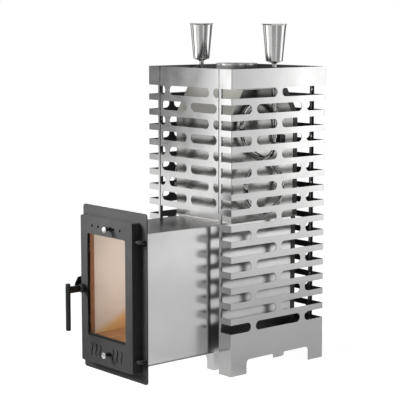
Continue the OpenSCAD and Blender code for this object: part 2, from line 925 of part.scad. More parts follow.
module cup() {
    t = cup_t;
    foot = cup_foot_d / 2;
    rim = cup_top_d / 2;
    wall = rim - rim_flare;
    bore = tube_r - tube_t;
    top = cup_foot_z + cup_h;
    translate([cup_x, mid_y, 0]) rotate_extrude($fn = 96) polygon([
        [bore, stem_low], [tube_r, stem_low], [tube_r, cup_foot_z - foot_cone],
        [foot - foot_edge, cup_foot_z - foot_edge], [foot, cup_foot_z], [wall, top - rim_h], [rim, top],
        [rim - t, top], [wall - t, top - rim_h], [foot - t, cup_foot_z + t],
        [foot - foot_edge - t, cup_foot_z - foot_edge + t], [bore, cup_foot_z - foot_cone + t]
    ]);
}

module union_nut() {
    translate([cup_x, mid_y, nut_z]) difference() {
        cylinder(h = nut_h, r = nut_r, $fn = 6);
        translate([0, 0, -e]) cylinder(h = nut_h + 2 * e, r = tube_r + fit, $fn = 48);
    }
}

module coupling() {
    translate([cup_x, mid_y, tube_low - sleeve_h / 2]) difference() {
        cylinder(h = sleeve_h, r = sleeve_r, $fn = 48);
        translate([0, 0, -e]) cylinder(h = sleeve_h + 2 * e, r = tube_r + fit, $fn = 48);
    }
}

module tube_clip() {
    difference() {
        union() {
            box([body_w / 2, mid_y - clip_half, clip_z],
                [cup_x - tube_r, mid_y + clip_half, clip_z + clip_t]);
            translate([cup_x, mid_y, clip_z]) cylinder(h = clip_t, r = sleeve_r, $fn = 48);
            box([body_w / 2, mid_y - clip_foot, clip_z - clip_foot_drop],
                [body_w / 2 + clip_foot_t, mid_y + clip_foot, clip_z + clip_t]);
        }
        translate([cup_x, mid_y, clip_z - e]) cylinder(h = clip_t + 2 * e, r = tube_r + fit, $fn = 48);
    }
}

module steam_tube_right() { color("gainsboro") steam_tube(); }
module steam_tube_left() { color("gainsboro") mirror([1, 0, 0]) steam_tube(); }
module steam_coil_right() { color("gainsboro") steam_coil(); }
module steam_coil_left() { color("gainsboro") mirror([1, 0, 0]) steam_coil(); }
module coil_socket_right() { color("silver") coil_socket(); }
module coil_socket_left() { color("silver") mirror([1, 0, 0]) coil_socket(); }
module cup_right() { color("gainsboro") cup(); }
module cup_left() { color("gainsboro") mirror([1, 0, 0]) cup(); }
module union_nuts() { color("gainsboro") both_sides() union_nut(); }
module couplings() { color("gainsboro") both_sides() coupling(); }
module tube_clips() { color("silver") both_sides() tube_clip(); }

// Door frame

module door_plate() {
    color([0.25, 0.25, 0.26]) plate_xz(plate_face, plate_t) difference() {
        round_rect([-plate_w / 2, plate_z], [plate_w, plate_h], plate_r);
        translate([-plate_hole_w / 2, plate_hole_low])
            square([plate_hole_w, plate_hole_top - plate_hole_low]);
    }
}

module hinge_lugs() {
    reach = plate_face - hinge_y;
    color([0.2, 0.2, 0.2]) for (z = hinge_levels, side = [-1, 1])
        translate([hinge_x, hinge_y, z + side * (leaf_lug_t / 2 + lug_gap + lug_t / 2) - lug_t / 2])
            linear_extrude(lug_t) difference() {
                union() {
                    circle(lug_r, $fn = 48);
                    translate([-lug_r, 0]) square([2 * lug_r, reach]);
                }
                circle(pin_r + fit, $fn = 48);
            }
}

module hinge_knuckles() {
    color([0.2, 0.2, 0.2]) for (z = hinge_levels)
        translate([hinge_x, hinge_y, z - leaf_lug_t / 2]) linear_extrude(leaf_lug_t) difference() {
            union() {
                circle(knuckle_r, $fn = 48);
                translate([-hinge_out, -knuckle_r]) square([hinge_out, 2 * knuckle_r]);
            }
            circle(pin_r + fit, $fn = 48);
        }
}

module hinge_pins() {
    half = leaf_lug_t / 2 + lug_gap + lug_t;
    color("gray") for (z = hinge_levels) translate([hinge_x, hinge_y, z]) {
        translate([0, 0, -half - pin_tail]) cylinder(h = 2 * half + pin_tail, r = pin_r, $fn = 48);
        translate([0, 0, half]) cylinder(h = pin_head_t, r = pin_head_r, $fn = 48);
    }
}

module latch_keeper() {
    rear = tongue_y - tongue_t - 1;
    front = rear - keeper_nose_t;
    low = axis_z - keeper_nose_h / 2;
    high = axis_z + keeper_nose_h / 2;
    color([0.15, 0.15, 0.15]) {
        plate_yz(keeper_x - keeper_nose - keeper_t, keeper_t) polygon([
            [plate_face, axis_z - keeper_low], [plate_face, axis_z + keeper_high],
            [leaf_face, axis_z + keeper_mid], [front, high], [front, low]
        ]);
        box([keeper_x - keeper_nose, front, low], [keeper_x, rear, high]);
    }
}

// Door leaf

module wave_slot() {
    points = [for (i = [0 : wave_steps]) let (z = wave_h * (i / wave_steps - 0.5))
        [wave_swing * sin(360 * z / wave_h), z]];
    half = wave_w / 2;
    polygon(concat(
        [for (p = points) p + [half, 0]],
        [for (i = [wave_steps : -1 : 0]) points[i] - [half, 0]]
    ));
}

module wave_slots() {
    for (i = wave_places, side = [-1, 1]) translate([side * i * wave_pitch, lower_z]) wave_slot();
}

module air_holes() {
    for (x = hole_places) translate([x * hole_pitch, upper_z]) circle(hole_d / 2, $fn = 32);
}

// Slot in the leaf that a knob's stem travels along, from x0 to x1
module stem_slot(x0, x1, z) {
    r = stem_r + slide_gap;
    translate([x0, z - r]) square([x1 - x0, 2 * r]);
    for (x = [x0, x1]) translate([x, z]) circle(r, $fn = 32);
}

module door_leaf() {
    color([0.25, 0.25, 0.26]) {
        plate_xz(leaf_face, leaf_t) difference() {
            round_rect([-leaf_w / 2, leaf_z], [leaf_w, leaf_h], leaf_r);
            round_rect([-window_w / 2, window_low], [window_w, window_h], window_r);
            air_holes();
            wave_slots();
            stem_slot(upper_knob_x - slider_travel, upper_knob_x, upper_z);
            stem_slot(lower_knob_x - slider_travel + lower_right, lower_knob_x + lower_right, lower_z);
            translate([shaft_x, axis_z]) circle(bush_r + fit, $fn = 48);
        }
        plate_xz(leaf_face, leaf_back - leaf_face) difference() {
            round_rect([-leaf_w / 2, leaf_z], [leaf_w, leaf_h], leaf_r);
            round_rect([-leaf_w / 2 + leaf_t, leaf_z + leaf_t],
                [leaf_w - 2 * leaf_t, leaf_h - 2 * leaf_t], leaf_r - leaf_t);
        }
    }
}

// Outline inside the leaf's side walls, drawn in by an inset
module leaf_inside(inset) {
    w = leaf_w - 2 * leaf_t - 2 * inset;
    h = leaf_h - 2 * leaf_t - 2 * inset;
    round_rect([-w / 2, leaf_z + leaf_t + inset], [w, h], leaf_r - leaf_t + seat);
}

// Frame inside the leaf's back that carries the rope gasket
module leaf_frame() {
    lip = gasket_inset + gasket_w + gasket_room;
    reach = window_w / 2 + liner_t;
    color("dimgray") {
        plate_xz(frame_y, frame_t) difference() {
            leaf_inside(0);
            intersection() {
                leaf_inside(lip);
                translate([-reach, leaf_z]) square([2 * reach, leaf_h]);
            }
        }
        plate_xz(frame_y, frame_rim_h) difference() {
            leaf_inside(lip - frame_rim);
            leaf_inside(lip);
        }
    }
}

// A wall on each side of the window, from the glass back to the frame
module window_liners() {
    front = glass_back + liner_gap;
    color("dimgray") both_sides() plate_xz(front, frame_y + frame_rim_h - front)
        translate([window_w / 2, window_low]) square([liner_t, window_h]);
}

module door_gasket() {
    color("lightgray") plate_xz(gasket_y, gasket_w + seat) difference() {
        leaf_inside(gasket_inset);
        leaf_inside(gasket_inset + gasket_w);
    }
}

module glass_outline(lap) {
    translate([-window_w / 2 - lap, window_low - lap]) square([window_w + 2 * lap, window_h + 2 * lap]);
}

module door_glass() {
    color([0.8, 0.6, 0.4, 0.5]) plate_xz(glass_face, glass_t) glass_outline(glass_lap - glass_play);
}

module glass_seal() {
    color("dimgray") plate_xz(leaf_in, seal_t) difference() {
        glass_outline(glass_lap);
        intersection() {
            glass_outline(glass_play);
            translate([0, seal_sill]) glass_outline(0);
        }
    }
}

module at_springs() {
    for (spot = spring_spots) translate([spot[0] * (window_w / 2 + glass_lap), 0, spot[1]])
        mirror([spot[0] < 0 ? 1 : 0, 0, 0]) children();
}

// Each clip is a stepped strip that presses on the glass and is screwed to the leaf
module glass_clips() {
    t = spring_t;
    half = spring_w / 2;
    color("silver") at_springs() difference() {
        union() {
            box([-spring_hook, glass_back, -half], [spring_gap + t, glass_back + t, half]);
            box([spring_gap, leaf_in, -half], [spring_gap + t, glass_back + t, half]);
            box([spring_gap, leaf_in, -half], [spring_len, leaf_in + t, half]);
        }
        translate([spring_screw, 0, 0]) rod_y(leaf_in - e, leaf_in + t + e, screw_r + fit);
    }
}

module clip_screws() {
    color("gray") at_springs() translate([spring_screw, 0, 0]) {
        rod_y(leaf_in, leaf_in + spring_t, screw_r);
        rod_y(leaf_in + spring_t, leaf_in + spring_t + screw_head_h, screw_head_r);
    }
}

// Two rails over and under a slider, each with a lip that holds it
module slider_guides(z, h, half) {
    lip_y = slider_face + slider_t + slide_gap;
    for (side = [-1, 1]) {
        near = side * (h / 2 + slide_gap);
        far = near + side * guide_h;
        lip = near - side * guide_lip;
        box([-half, leaf_in, z + min(near, far)], [half, lip_y, z + max(near, far)]);
        box([-half, lip_y, z + min(lip, far)], [half, lip_y + guide_t, z + max(lip, far)]);
    }
}

module upper_guides() { color("silver") slider_guides(upper_z, upper_slider_h, upper_half - guide_short); }
module lower_guides() { color("silver") slider_guides(lower_z, lower_slider_h, lower_half - guide_short); }

module upper_slider() {
    color("gray") plate_xz(slider_face, slider_t) difference() {
        translate([-upper_half, upper_z - upper_slider_h / 2]) square([2 * upper_half, upper_slider_h]);
        air_holes();
    }
}

module lower_slider() {
    color("gray") plate_xz(slider_face, slider_t) difference() {
        translate([-lower_half, lower_z - lower_slider_h / 2]) square([2 * lower_half, lower_slider_h]);
        wave_slots();
    }
}

// Stem of a slider knob: a straight neck through the leaf, then a cone that narrows towards the knob
module knob_stem(x, z) {
    out = leaf_face - knob_out + knob_t;
    base = leaf_face - stem_seat;
    color([0.1, 0.1, 0.1]) translate([x, 0, z]) {
        rod_y(base - stem_neck, slider_face, stem_r);
        translate([0, base, 0]) rotate([90, 0, 0])
            cylinder(h = base - out, r1 = stem_base_r, r2 = stem_r, $fn = 32);
    }
}

module knob(x, z) {
    color("gainsboro") translate([x, leaf_face - knob_out + knob_t, z]) rotate([90, 0, 0])
        rotate_extrude($fn = 64) rod_profile(knob_d / 2, knob_t, knob_edge);
}

module upper_knob_stem() { knob_stem(upper_knob_x, upper_z); }
module upper_knob() { knob(upper_knob_x, upper_z); }
module lower_knob_stem() { knob_stem(lower_knob_x, lower_z); }
module lower_knob() { knob(lower_knob_x, lower_z); }

// Handle

module handle_bush() {
    color("gray") translate([shaft_x, 0, axis_z]) difference() {
        union() {
            rod_y(leaf_face - bush_out, bush_end, bush_r);
            rod_y(leaf_in, leaf_in + bush_flange_t, bush_flange_r);
        }
        rod_y(leaf_face - e, bush_end + e, shaft_d / 2 + fit);
    }
}

module handle_shaft() {
    color([0.12, 0.12, 0.12]) translate([shaft_x, 0, axis_z])
        rod_y(tongue_y - tongue_t, bush_end + washer_t + shaft_nut_t + shaft_end, shaft_d / 2);
}

module shaft_nut() {
    y = bush_end + lug_gap;
    nut_y = y + washer_t;
    color("gray") translate([shaft_x, 0, axis_z]) difference() {
        union() {
            rod_y(y, nut_y, washer_r);
            translate([0, nut_y, 0]) rotate([-90, 0, 0]) cylinder(h = shaft_nut_t, r = shaft_nut_r, $fn = 6);
        }
        rod_y(y - e, nut_y + shaft_nut_t + e, shaft_d / 2 + fit);
    }
}

module latch_tongue() {
    half = tongue_w / 2;
    color([0.12, 0.12, 0.12]) translate([shaft_x, 0, axis_z])
        plate_xz(tongue_y - tongue_t, tongue_t) difference() {
            union() {
                circle(tongue_eye_r, $fn = 48);
                translate([-tongue_l + tongue_tip, -half]) square([tongue_l - tongue_tip, tongue_w]);
                translate([-tongue_l, -half + tongue_step]) square([tongue_l, tongue_w - 2 * tongue_step]);
            }
            circle(shaft_d / 2 + fit, $fn = 48);
        }
}

// A ball with flats where it meets the tongue and the arm, turned about the shaft's axis
module handle_boss() {
    behind = boss_y - (tongue_y - tongue_t);
    ahead = boss_r - boss_flat;
    a0 = asin(behind / boss_r);
    a1 = asin(ahead / boss_r);
    arc = [for (i = [0 : boss_steps]) let (a = a0 + (a1 - a0) * i / boss_steps) boss_r * [cos(a), sin(a)]];
    color([0.15, 0.15, 0.15]) translate([shaft_x, boss_y, axis_z]) rotate([90, 0, 0])
        rotate_extrude($fn = 48) polygon(concat([[0, behind]], arc, [[0, ahead]]));
}

module handle_arm() {
    y0 = grip_y + grip_d / 2 - arm_lap;
    y1 = boss_y - boss_r + boss_flat;
    color([0.15, 0.15, 0.15]) difference() {
        box([shaft_x - arm_w / 2, y0, axis_z - arm_h / 2], [shaft_x + arm_w / 2, y1, axis_z + arm_h / 2]);
        translate([shaft_x, grip_y, axis_z - arm_h]) cylinder(h = 2 * arm_h, r = grip_d / 2 + fit, $fn = 48);
    }
}

module handle_grip() {
    low = axis_z + grip_rise - grip_l;
    color([0.15, 0.15, 0.15]) translate([shaft_x, grip_y, low])
        rotate_extrude($fn = 48) rod_profile(grip_d / 2, grip_l, grip_edge);
}

cage_right();
cage_left();
cage_front();
cage_back();
cage_rivets();
base_rail();
stand_front();
stand_rear();
firebox();
fuel_channel();
hearth_plate();
grate();
ash_drawer();
lip_plate();
heater_body();
firebox_shield();
body_shield();
smoke_baffle();
flue_collar();
steam_tube_right();
steam_tube_left();
steam_coil_right();
steam_coil_left();
coil_socket_right();
coil_socket_left();
cup_right();
cup_left();
union_nuts();
couplings();
tube_clips();
door_plate();
hinge_lugs();
hinge_pins();
latch_keeper();
door_leaf();
leaf_frame();
window_liners();
door_glass();
glass_seal();
glass_clips();
clip_screws();
door_gasket();
hinge_knuckles();
handle_bush();
upper_guides();
lower_guides();
handle_shaft();
handle_boss();
handle_arm();
handle_grip();
latch_tongue();
shaft_nut();
upper_slider();
upper_knob_stem();
upper_knob();
lower_slider();
lower_knob_stem();
lower_knob();
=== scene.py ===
# Looks of a wood-fired sauna heater stove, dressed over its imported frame.
# Metres, +Z up, door facing -Y, origin on the floor.

import json
import math

import bmesh
import bpy
from mathutils import Matrix, Vector

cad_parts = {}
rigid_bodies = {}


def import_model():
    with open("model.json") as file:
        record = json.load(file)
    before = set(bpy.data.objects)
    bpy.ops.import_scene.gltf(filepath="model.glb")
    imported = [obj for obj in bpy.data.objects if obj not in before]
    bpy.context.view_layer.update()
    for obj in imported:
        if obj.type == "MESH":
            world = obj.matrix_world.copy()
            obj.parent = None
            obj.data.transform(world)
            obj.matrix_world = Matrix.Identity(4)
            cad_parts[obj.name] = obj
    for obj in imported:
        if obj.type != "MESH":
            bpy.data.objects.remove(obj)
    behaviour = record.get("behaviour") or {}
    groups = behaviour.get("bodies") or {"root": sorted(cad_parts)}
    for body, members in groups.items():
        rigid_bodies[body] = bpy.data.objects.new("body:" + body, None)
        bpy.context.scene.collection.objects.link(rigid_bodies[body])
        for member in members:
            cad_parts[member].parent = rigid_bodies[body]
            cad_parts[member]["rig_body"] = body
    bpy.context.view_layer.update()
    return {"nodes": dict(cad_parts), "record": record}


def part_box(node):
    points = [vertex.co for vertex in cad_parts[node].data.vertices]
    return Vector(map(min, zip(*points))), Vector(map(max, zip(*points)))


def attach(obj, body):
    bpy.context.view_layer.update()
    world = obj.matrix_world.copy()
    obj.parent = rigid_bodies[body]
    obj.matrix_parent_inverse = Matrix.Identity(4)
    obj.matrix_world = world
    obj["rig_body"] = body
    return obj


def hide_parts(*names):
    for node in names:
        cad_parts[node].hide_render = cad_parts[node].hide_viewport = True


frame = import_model()
nodes = frame["nodes"]
slot_of = {part["node"]: part["material_slot"] for part in frame["record"]["subparts"]}
scene = bpy.context.scene

# Camera

CAMERA_PLACE = (3.3709, -2.8289, 1.1446)
CAMERA_AZIMUTH = 49.549
CAMERA_PITCH = 7.689
CAMERA_LENS = 122.75
CAMERA_SENSOR = 36
CAMERA_FAR = 60


def make_camera():
    data = bpy.data.cameras.new("camera")
    data.lens = CAMERA_LENS
    data.sensor_width = CAMERA_SENSOR
    data.clip_end = CAMERA_FAR
    camera = bpy.data.objects.new("camera", data)
    scene.collection.objects.link(camera)
    camera.location = CAMERA_PLACE
    camera.rotation_euler = (math.radians(90 - CAMERA_PITCH), 0, math.radians(CAMERA_AZIMUTH))
    scene.camera = camera


# Node trees


def new_tree(name):
    """A material with an empty node tree, and its output node."""
    material = bpy.data.materials.new(name)
    material.use_nodes = True
    tree = material.node_tree
    tree.nodes.clear()
    output = tree.nodes.new("ShaderNodeOutputMaterial")
    return material, tree, output


def any_ray(tree, *kinds):
    """1 for the kinds of ray that are named, and 0 for all others."""
    path = tree.nodes.new("ShaderNodeLightPath")
    level = path.outputs[kinds[0]]
    for kind in kinds[1:]:
        both = tree.nodes.new("ShaderNodeMath")
        both.operation = "MAXIMUM"
        tree.links.new(level, both.inputs[0])
        tree.links.new(path.outputs[kind], both.inputs[1])
        level = both.outputs[0]
    return level


def mixed(tree, factor, first, second):
    """Two shaders mixed by an output; the second one shows where it is 1."""
    mix = tree.nodes.new("ShaderNodeMixShader")
    for socket, output in zip(mix.inputs, (factor, first, second)):
        tree.links.new(output, socket)
    return mix.outputs[0]


# The two colour inputs of a Mix node, and its colour output
COLOR_SOCKETS = slice(6, 8)
COLOR_OUTPUT = 2


class Surface:
    """A principled material with colour, roughness and bump built up from procedural textures."""

    def __init__(self, name, color, metallic, roughness):
        self.material, self.tree, output = new_tree(name)
        self.shader = self.tree.nodes.new("ShaderNodeBsdfPrincipled")
        self.shader.inputs["Metallic"].default_value = metallic
        self.shader.inputs["Roughness"].default_value = roughness
        self.shader.inputs["Base Color"].default_value = (*color, 1)
        self.tree.links.new(self.shader.outputs[0], output.inputs["Surface"])
        self.coordinates = self.tree.nodes.new("ShaderNodeTexCoord").outputs["Object"]
        self.normal = None

    def noise(self, scale, detail, stretch=(1, 1, 1), rough=0.5):
        """Noise in object space; a stretch above 1 packs it more closely along that axis."""
        mapping = self.tree.nodes.new("ShaderNodeMapping")
        mapping.inputs["Scale"].default_value = stretch
        self.tree.links.new(self.coordinates, mapping.inputs["Vector"])
        texture = self.tree.nodes.new("ShaderNodeTexNoise")
        texture.inputs["Scale"].default_value = scale
        texture.inputs["Detail"].default_value = detail
        texture.inputs["Roughness"].default_value = rough
        self.tree.links.new(mapping.outputs[0], texture.inputs["Vector"])
        return texture.outputs["Fac"]

    def span(self, factor, low, high, start=0.3, end=0.7):
        """A factor from start to end, mapped on to values from low to high."""
        node = self.tree.nodes.new("ShaderNodeMapRange")
        node.inputs["From Min"].default_value = start
        node.inputs["From Max"].default_value = end
        node.inputs["To Min"].default_value = low
        node.inputs["To Max"].default_value = high
        self.tree.links.new(factor, node.inputs["Value"])
        return node.outputs["Result"]

    def mix(self, factor, first, second):
        """Two colours mixed by a factor; each is a colour or an output."""
        node = self.tree.nodes.new("ShaderNodeMix")
        node.data_type = "RGBA"
        self.tree.links.new(factor, node.inputs["Factor"])
        for socket, value in zip(node.inputs[COLOR_SOCKETS], (first, second)):
            if isinstance(value, bpy.types.NodeSocket):
                self.tree.links.new(value, socket)
            else:
                socket.default_value = (*value, 1)
        return node.outputs[COLOR_OUTPUT]

    def split(self):
        """The coordinates X, Y and Z of the place in object space."""
        node = self.tree.nodes.new("ShaderNodeSeparateXYZ")
        self.tree.links.new(self.coordinates, node.inputs[0])
        return node.outputs

    def set_color(self, output):
        self.tree.links.new(output, self.shader.inputs["Base Color"])

    def set_roughness(self, output):
        self.tree.links.new(output, self.shader.inputs["Roughness"])

    def vary_roughness(self, factor, roughness, least=0.85, most=1.2):
        """Lets a factor vary the roughness round its usual value."""
        self.set_roughness(self.span(factor, roughness * least, roughness * most))

    def bump(self, height, depth, strength):
        """Adds bump of a real depth in metres on top of what is there."""
        node = self.tree.nodes.new("ShaderNodeBump")
        node.inputs["Distance"].default_value = depth
        node.inputs["Strength"].default_value = strength
        self.tree.links.new(height, node.inputs["Height"])
        if self.normal is not None:
            self.tree.links.new(self.normal, node.inputs["Normal"])
        self.normal = node.outputs[0]
        self.tree.links.new(self.normal, self.shader.inputs["Normal"])


def scaled(color, factor):
    return tuple(part * factor for part in color)


# Materials

GRIME = (0.16, 0.13, 0.11)
ASH = (0.22, 0.20, 0.18)
STRAW = (0.34, 0.25, 0.17)
SOOT = (0.05, 0.045, 0.04)
AMBER = (0.97, 0.85, 0.75)
PALE_AMBER = (0.99, 0.87, 0.77)
# A thin pane bends light so little that what is behind it stays in place
PANE_IOR = 1.1
# Fine lines run along the axis that isn't stretched
UPRIGHT_LINES = (6, 6, 0.12)
LEVEL_LINES = (0.12, 0.12, 6)
# The painted warm glow of firelight starts at this height over the floor at Y 0, and rises toward
# the fire
GLOW_START = 0.27
GLOW_SLOPE = 0.5
WALL_PLAIN = (0.66, 0.64, 0.62)
GLOW_STRAW = (0.62, 0.44, 0.20)
GLOW_BRONZE = (0.52, 0.25, 0.10)
# Painted shade: the heater body's walls are painted darker between these heights, under its roof,
# standing in for the dark cage they mirror
BODY_PAINTED_SHADE = (0.73, 0.89)
PAINTED_SHADE_LEVEL = 0.2
# Depths of bump in metres
BRUSH_DEPTH = 0.00002
GRAIN_DEPTH = 0.00012
PORE_DEPTH = 0.00004
SPECK_DEPTH = 0.00005
SAND_DEPTH = 0.0005
SOOT_DEPTH = 0.0002
WALL_DEPTH = 0.00005
STRAND_DEPTH = 0.0004


def brushed_steel(name, color, roughness, grain, grime=0.0, painted_shade=None):
    """Satin stainless steel with fine lines, clouds and smudges, and painted shade that darkens
    its top if asked.
    """
    steel = Surface(name, color, 1.0, roughness)
    lines = steel.noise(260, 2, grain, 0.6)
    clouds = steel.noise(5, 3)
    smudges = steel.noise(14, 4)
    tone = steel.mix(steel.span(clouds, 0, 1), scaled(color, 0.95), scaled(color, 1.04))
    tone = steel.mix(steel.span(lines, 0, 0.5), tone, scaled(color, 0.9))
    if grime:
        tone = steel.mix(steel.span(smudges, 0, grime, 0.45, 0.75), tone, GRIME)
    if painted_shade:
        # Painted shade: the colour darkens with height toward the top
        shade_rise = steel.span(steel.split()["Z"], 0, 1, *painted_shade)
        tone = steel.mix(shade_rise, tone, scaled(color, PAINTED_SHADE_LEVEL))
    steel.set_color(tone)
    steel.vary_roughness(smudges, roughness)
    steel.bump(lines, BRUSH_DEPTH, 0.35)
    return steel.material


def polished_steel(name, color, roughness):
    """Bright polished steel with faint wipe marks."""
    steel = Surface(name, color, 1.0, roughness)
    clouds = steel.noise(18, 3)
    wipes = steel.noise(40, 2, (1, 1, 0.3))
    steel.set_color(steel.mix(steel.span(clouds, 0, 1), scaled(color, 0.94), scaled(color, 1.03)))
    steel.vary_roughness(wipes, roughness)
    return steel.material


def powder_coat(name, color, roughness):
    """Dark textured powder coat: a fine grain in bump and tone, rubbed a little in places."""
    coat = Surface(name, color, 0.0, roughness)
    grain = coat.noise(900, 2)
    pores = coat.noise(2600, 1)
    clouds = coat.noise(9, 3)
    tone = coat.mix(coat.span(clouds, 0, 1), scaled(color, 0.88), scaled(color, 1.1))
    tone = coat.mix(coat.span(grain, 0, 0.35, 0.55, 0.8), tone, scaled(color, 1.7))
    coat.set_color(tone)
    coat.vary_roughness(clouds, roughness, 0.9, 1.12)
    coat.bump(grain, GRAIN_DEPTH, 0.5)
    coat.bump(pores, PORE_DEPTH, 0.4)
    coat.shader.inputs["Specular IOR Level"].default_value = 0.05
    return coat.material


def satin_black(name, color, roughness):
    """Black satin fittings with a soft sheen and slight wear."""
    black = Surface(name, color, 0.0, roughness)
    clouds = black.noise(30, 3)
    specks = black.noise(1400, 2)
    black.set_color(black.mix(black.span(clouds, 0, 1), scaled(color, 0.8), scaled(color, 1.5)))
    black.vary_roughness(clouds, roughness)
    black.bump(specks, SPECK_DEPTH, 0.35)
    black.shader.inputs["Specular IOR Level"].default_value = 0.4
    return black.material


def cast_iron(name, color):
    """Rough dark casting with ash in its hollows."""
    iron = Surface(name, color, 0.35, 0.7)
    sand = iron.noise(420, 4, rough=0.65)
    ash = iron.noise(22, 5)
    iron.set_color(iron.mix(iron.span(ash, 0, 0.7, 0.5, 0.75), color, ASH))
    iron.set_roughness(iron.span(sand, 0.55, 0.85))
    iron.bump(sand, SAND_DEPTH, 0.6)
    return iron.material


def fired_steel(name, color, metallic, wear):
    """Plate that has been in the fire, with patches of a straw tint and of dry soot."""
    plate = Surface(name, color, metallic, 0.42)
    tint = plate.noise(7, 3)
    soot = plate.noise(30, 5)
    tone = plate.mix(plate.span(tint, 0, wear), color, STRAW)
    plate.set_color(plate.mix(plate.span(soot, 0, wear, 0.5, 0.8), tone, SOOT))
    plate.set_roughness(plate.span(soot, 0.35, 0.65))
    plate.bump(soot, SOOT_DEPTH, 0.4)
    return plate.material


def firelight_painted_wall(name):
    """Wall of the fuel channel: pale steel, with a painted warm glow of firelight low down and
    toward the fire.
    """
    wall = Surface(name, WALL_PLAIN, 0.0, 0.5)
    place = wall.split()
    rise = wall.tree.nodes.new("ShaderNodeMath")
    rise.operation = "MULTIPLY_ADD"
    rise.inputs[1].default_value = GLOW_SLOPE
    rise.inputs[2].default_value = GLOW_START
    wall.tree.links.new(place["Y"], rise.inputs[0])
    over = wall.tree.nodes.new("ShaderNodeMath")
    over.operation = "SUBTRACT"
    wall.tree.links.new(rise.outputs[0], over.inputs[0])
    wall.tree.links.new(place["Z"], over.inputs[1])
    clouds = wall.noise(12, 4)
    tone = wall.mix(wall.span(clouds, 0, 1), WALL_PLAIN, scaled(WALL_PLAIN, 0.93))
    # Painted light: straw and bronze glow of firelight below a line that rises toward the fire
    tone = wall.mix(wall.span(over.outputs[0], 0, 1, -0.022, 0.006), tone, GLOW_STRAW)
    tone = wall.mix(wall.span(over.outputs[0], 0, 1, 0.0, 0.06), tone, GLOW_BRONZE)
    wall.set_color(tone)
    wall.bump(wall.noise(140, 3), WALL_DEPTH, 0.3)
    return wall.material


def amber_glass(name):
    """Ceramic door glass with an amber tint and a faint haze."""
    glass = Surface(name, AMBER, 0.0, 0.03)
    haze = glass.noise(9, 3)
    glass.set_color(glass.mix(glass.span(haze, 0, 1), AMBER, PALE_AMBER))
    glass.set_roughness(glass.span(haze, 0.03, 0.08))
    glass.shader.inputs["Transmission Weight"].default_value = 1.0
    glass.shader.inputs["IOR"].default_value = PANE_IOR
    return glass.material


def rope_fibre(name, color, scale):
    """Braided glass fibre: fine strands with slightly dirty hollows."""
    rope = Surface(name, color, 0.0, 0.9)
    strands = rope.noise(scale, 3, rough=0.7)
    dirt = rope.noise(40, 3)
    tone = rope.mix(rope.span(strands, 0, 1), scaled(color, 0.6), color)
    rope.set_color(rope.mix(rope.span(dirt, 0, 0.6, 0.5, 0.8), tone, scaled(color, 0.45)))
    rope.bump(strands, STRAND_DEPTH, 0.8)
    rope.shader.inputs["Sheen Weight"].default_value = 0.2
    return rope.material


def plated_hardware(name, color):
    """Zinc-plated small parts: slightly yellow, with a dull patchy shine."""
    zinc = Surface(name, color, 1.0, 0.3)
    patches = zinc.noise(120, 3)
    zinc.set_color(zinc.mix(zinc.span(patches, 0, 1), scaled(color, 0.85), color))
    zinc.set_roughness(zinc.span(patches, 0.22, 0.42))
    return zinc.material


MATERIALS = {
    "cage_steel": brushed_steel("cage_steel", (0.50, 0.50, 0.497), 0.18, LEVEL_LINES),
    "firebox_steel": brushed_steel("firebox_steel", (0.62, 0.62, 0.62), 0.18, UPRIGHT_LINES),
    "body_steel": brushed_steel(
        "body_steel", (0.52, 0.518, 0.505), 0.25, UPRIGHT_LINES, painted_shade=BODY_PAINTED_SHADE
    ),
    "lip_steel": brushed_steel("lip_steel", (0.84, 0.84, 0.83), 0.14, LEVEL_LINES),
    "shield_steel": brushed_steel("shield_steel", (0.06, 0.06, 0.06), 0.4, UPRIGHT_LINES, 0.4),
    "steam_chrome": polished_steel("steam_chrome", (0.57, 0.57, 0.565), 0.15),
    "door_paint": powder_coat("door_paint", (0.13, 0.131, 0.133), 0.5),
    "black_fittings": satin_black("black_fittings", (0.014, 0.014, 0.015), 0.3),
    "knob_chrome": polished_steel("knob_chrome", (0.82, 0.82, 0.82), 0.1),
    "door_glass": amber_glass("door_glass"),
    "rope": rope_fibre("rope", (0.55, 0.53, 0.49), 900),
    "seal_tape": rope_fibre("seal_tape", (0.014, 0.013, 0.012), 1500),
    "grate_iron": cast_iron("grate_iron", (0.07, 0.066, 0.062)),
    "hearth_steel": fired_steel("hearth_steel", (0.46, 0.24, 0.11), 0.2, 0.3),
    "hardware": plated_hardware("hardware", (0.62, 0.60, 0.54)),
}


def set_value(material, socket, value):
    """Sets one plain value on a material's principled shader."""
    material.node_tree.nodes["Principled BSDF"].inputs[socket].default_value = value


# Finishes for pieces or faces that differ from their slot's usual one
# Painted shade: the tubes' polished steel is darker than the cups', standing in for the dark cage
# inside that they mirror
SHADED_TUBE_STEEL = polished_steel("shaded_tube_steel", (0.36, 0.36, 0.356), 0.06)
COLLAR_STEEL = polished_steel("collar_steel", (0.68, 0.68, 0.675), 0.1)
set_value(COLLAR_STEEL, "Metallic", 0.8)
ROOF_STEEL = brushed_steel("roof_steel", (0.56, 0.553, 0.51), 0.5, UPRIGHT_LINES)
# Painted shade: the cage's inner faces and seam edges get a much darker copy of its steel
CAGE_PAINTED_SHADE = brushed_steel("shaded_cage_inside", (0.11, 0.11, 0.11), 0.42, LEVEL_LINES)
# The fuel channel's inner walls carry the painted glow of firelight
FIREBOX_INSIDE = firelight_painted_wall("firebox_inside")
BEAD_STEEL = fired_steel("bead_steel", (0.12, 0.10, 0.09), 0.6, 0.5)
# Black sliders, darkened further as painted shade so that the air holes and the leaf's cut edges
# read black
RECESS_SHADE_BLACK = satin_black("recess_shade_black", (0.007, 0.007, 0.007), 0.6)
set_value(RECESS_SHADE_BLACK, "Specular IOR Level", 0.05)
FRAME_STEEL = fired_steel("frame_steel", (0.2, 0.18, 0.16), 0.6, 0.5)
LINER_STEEL = fired_steel("liner_steel", (0.27, 0.125, 0.06), 0.2, 0.25)
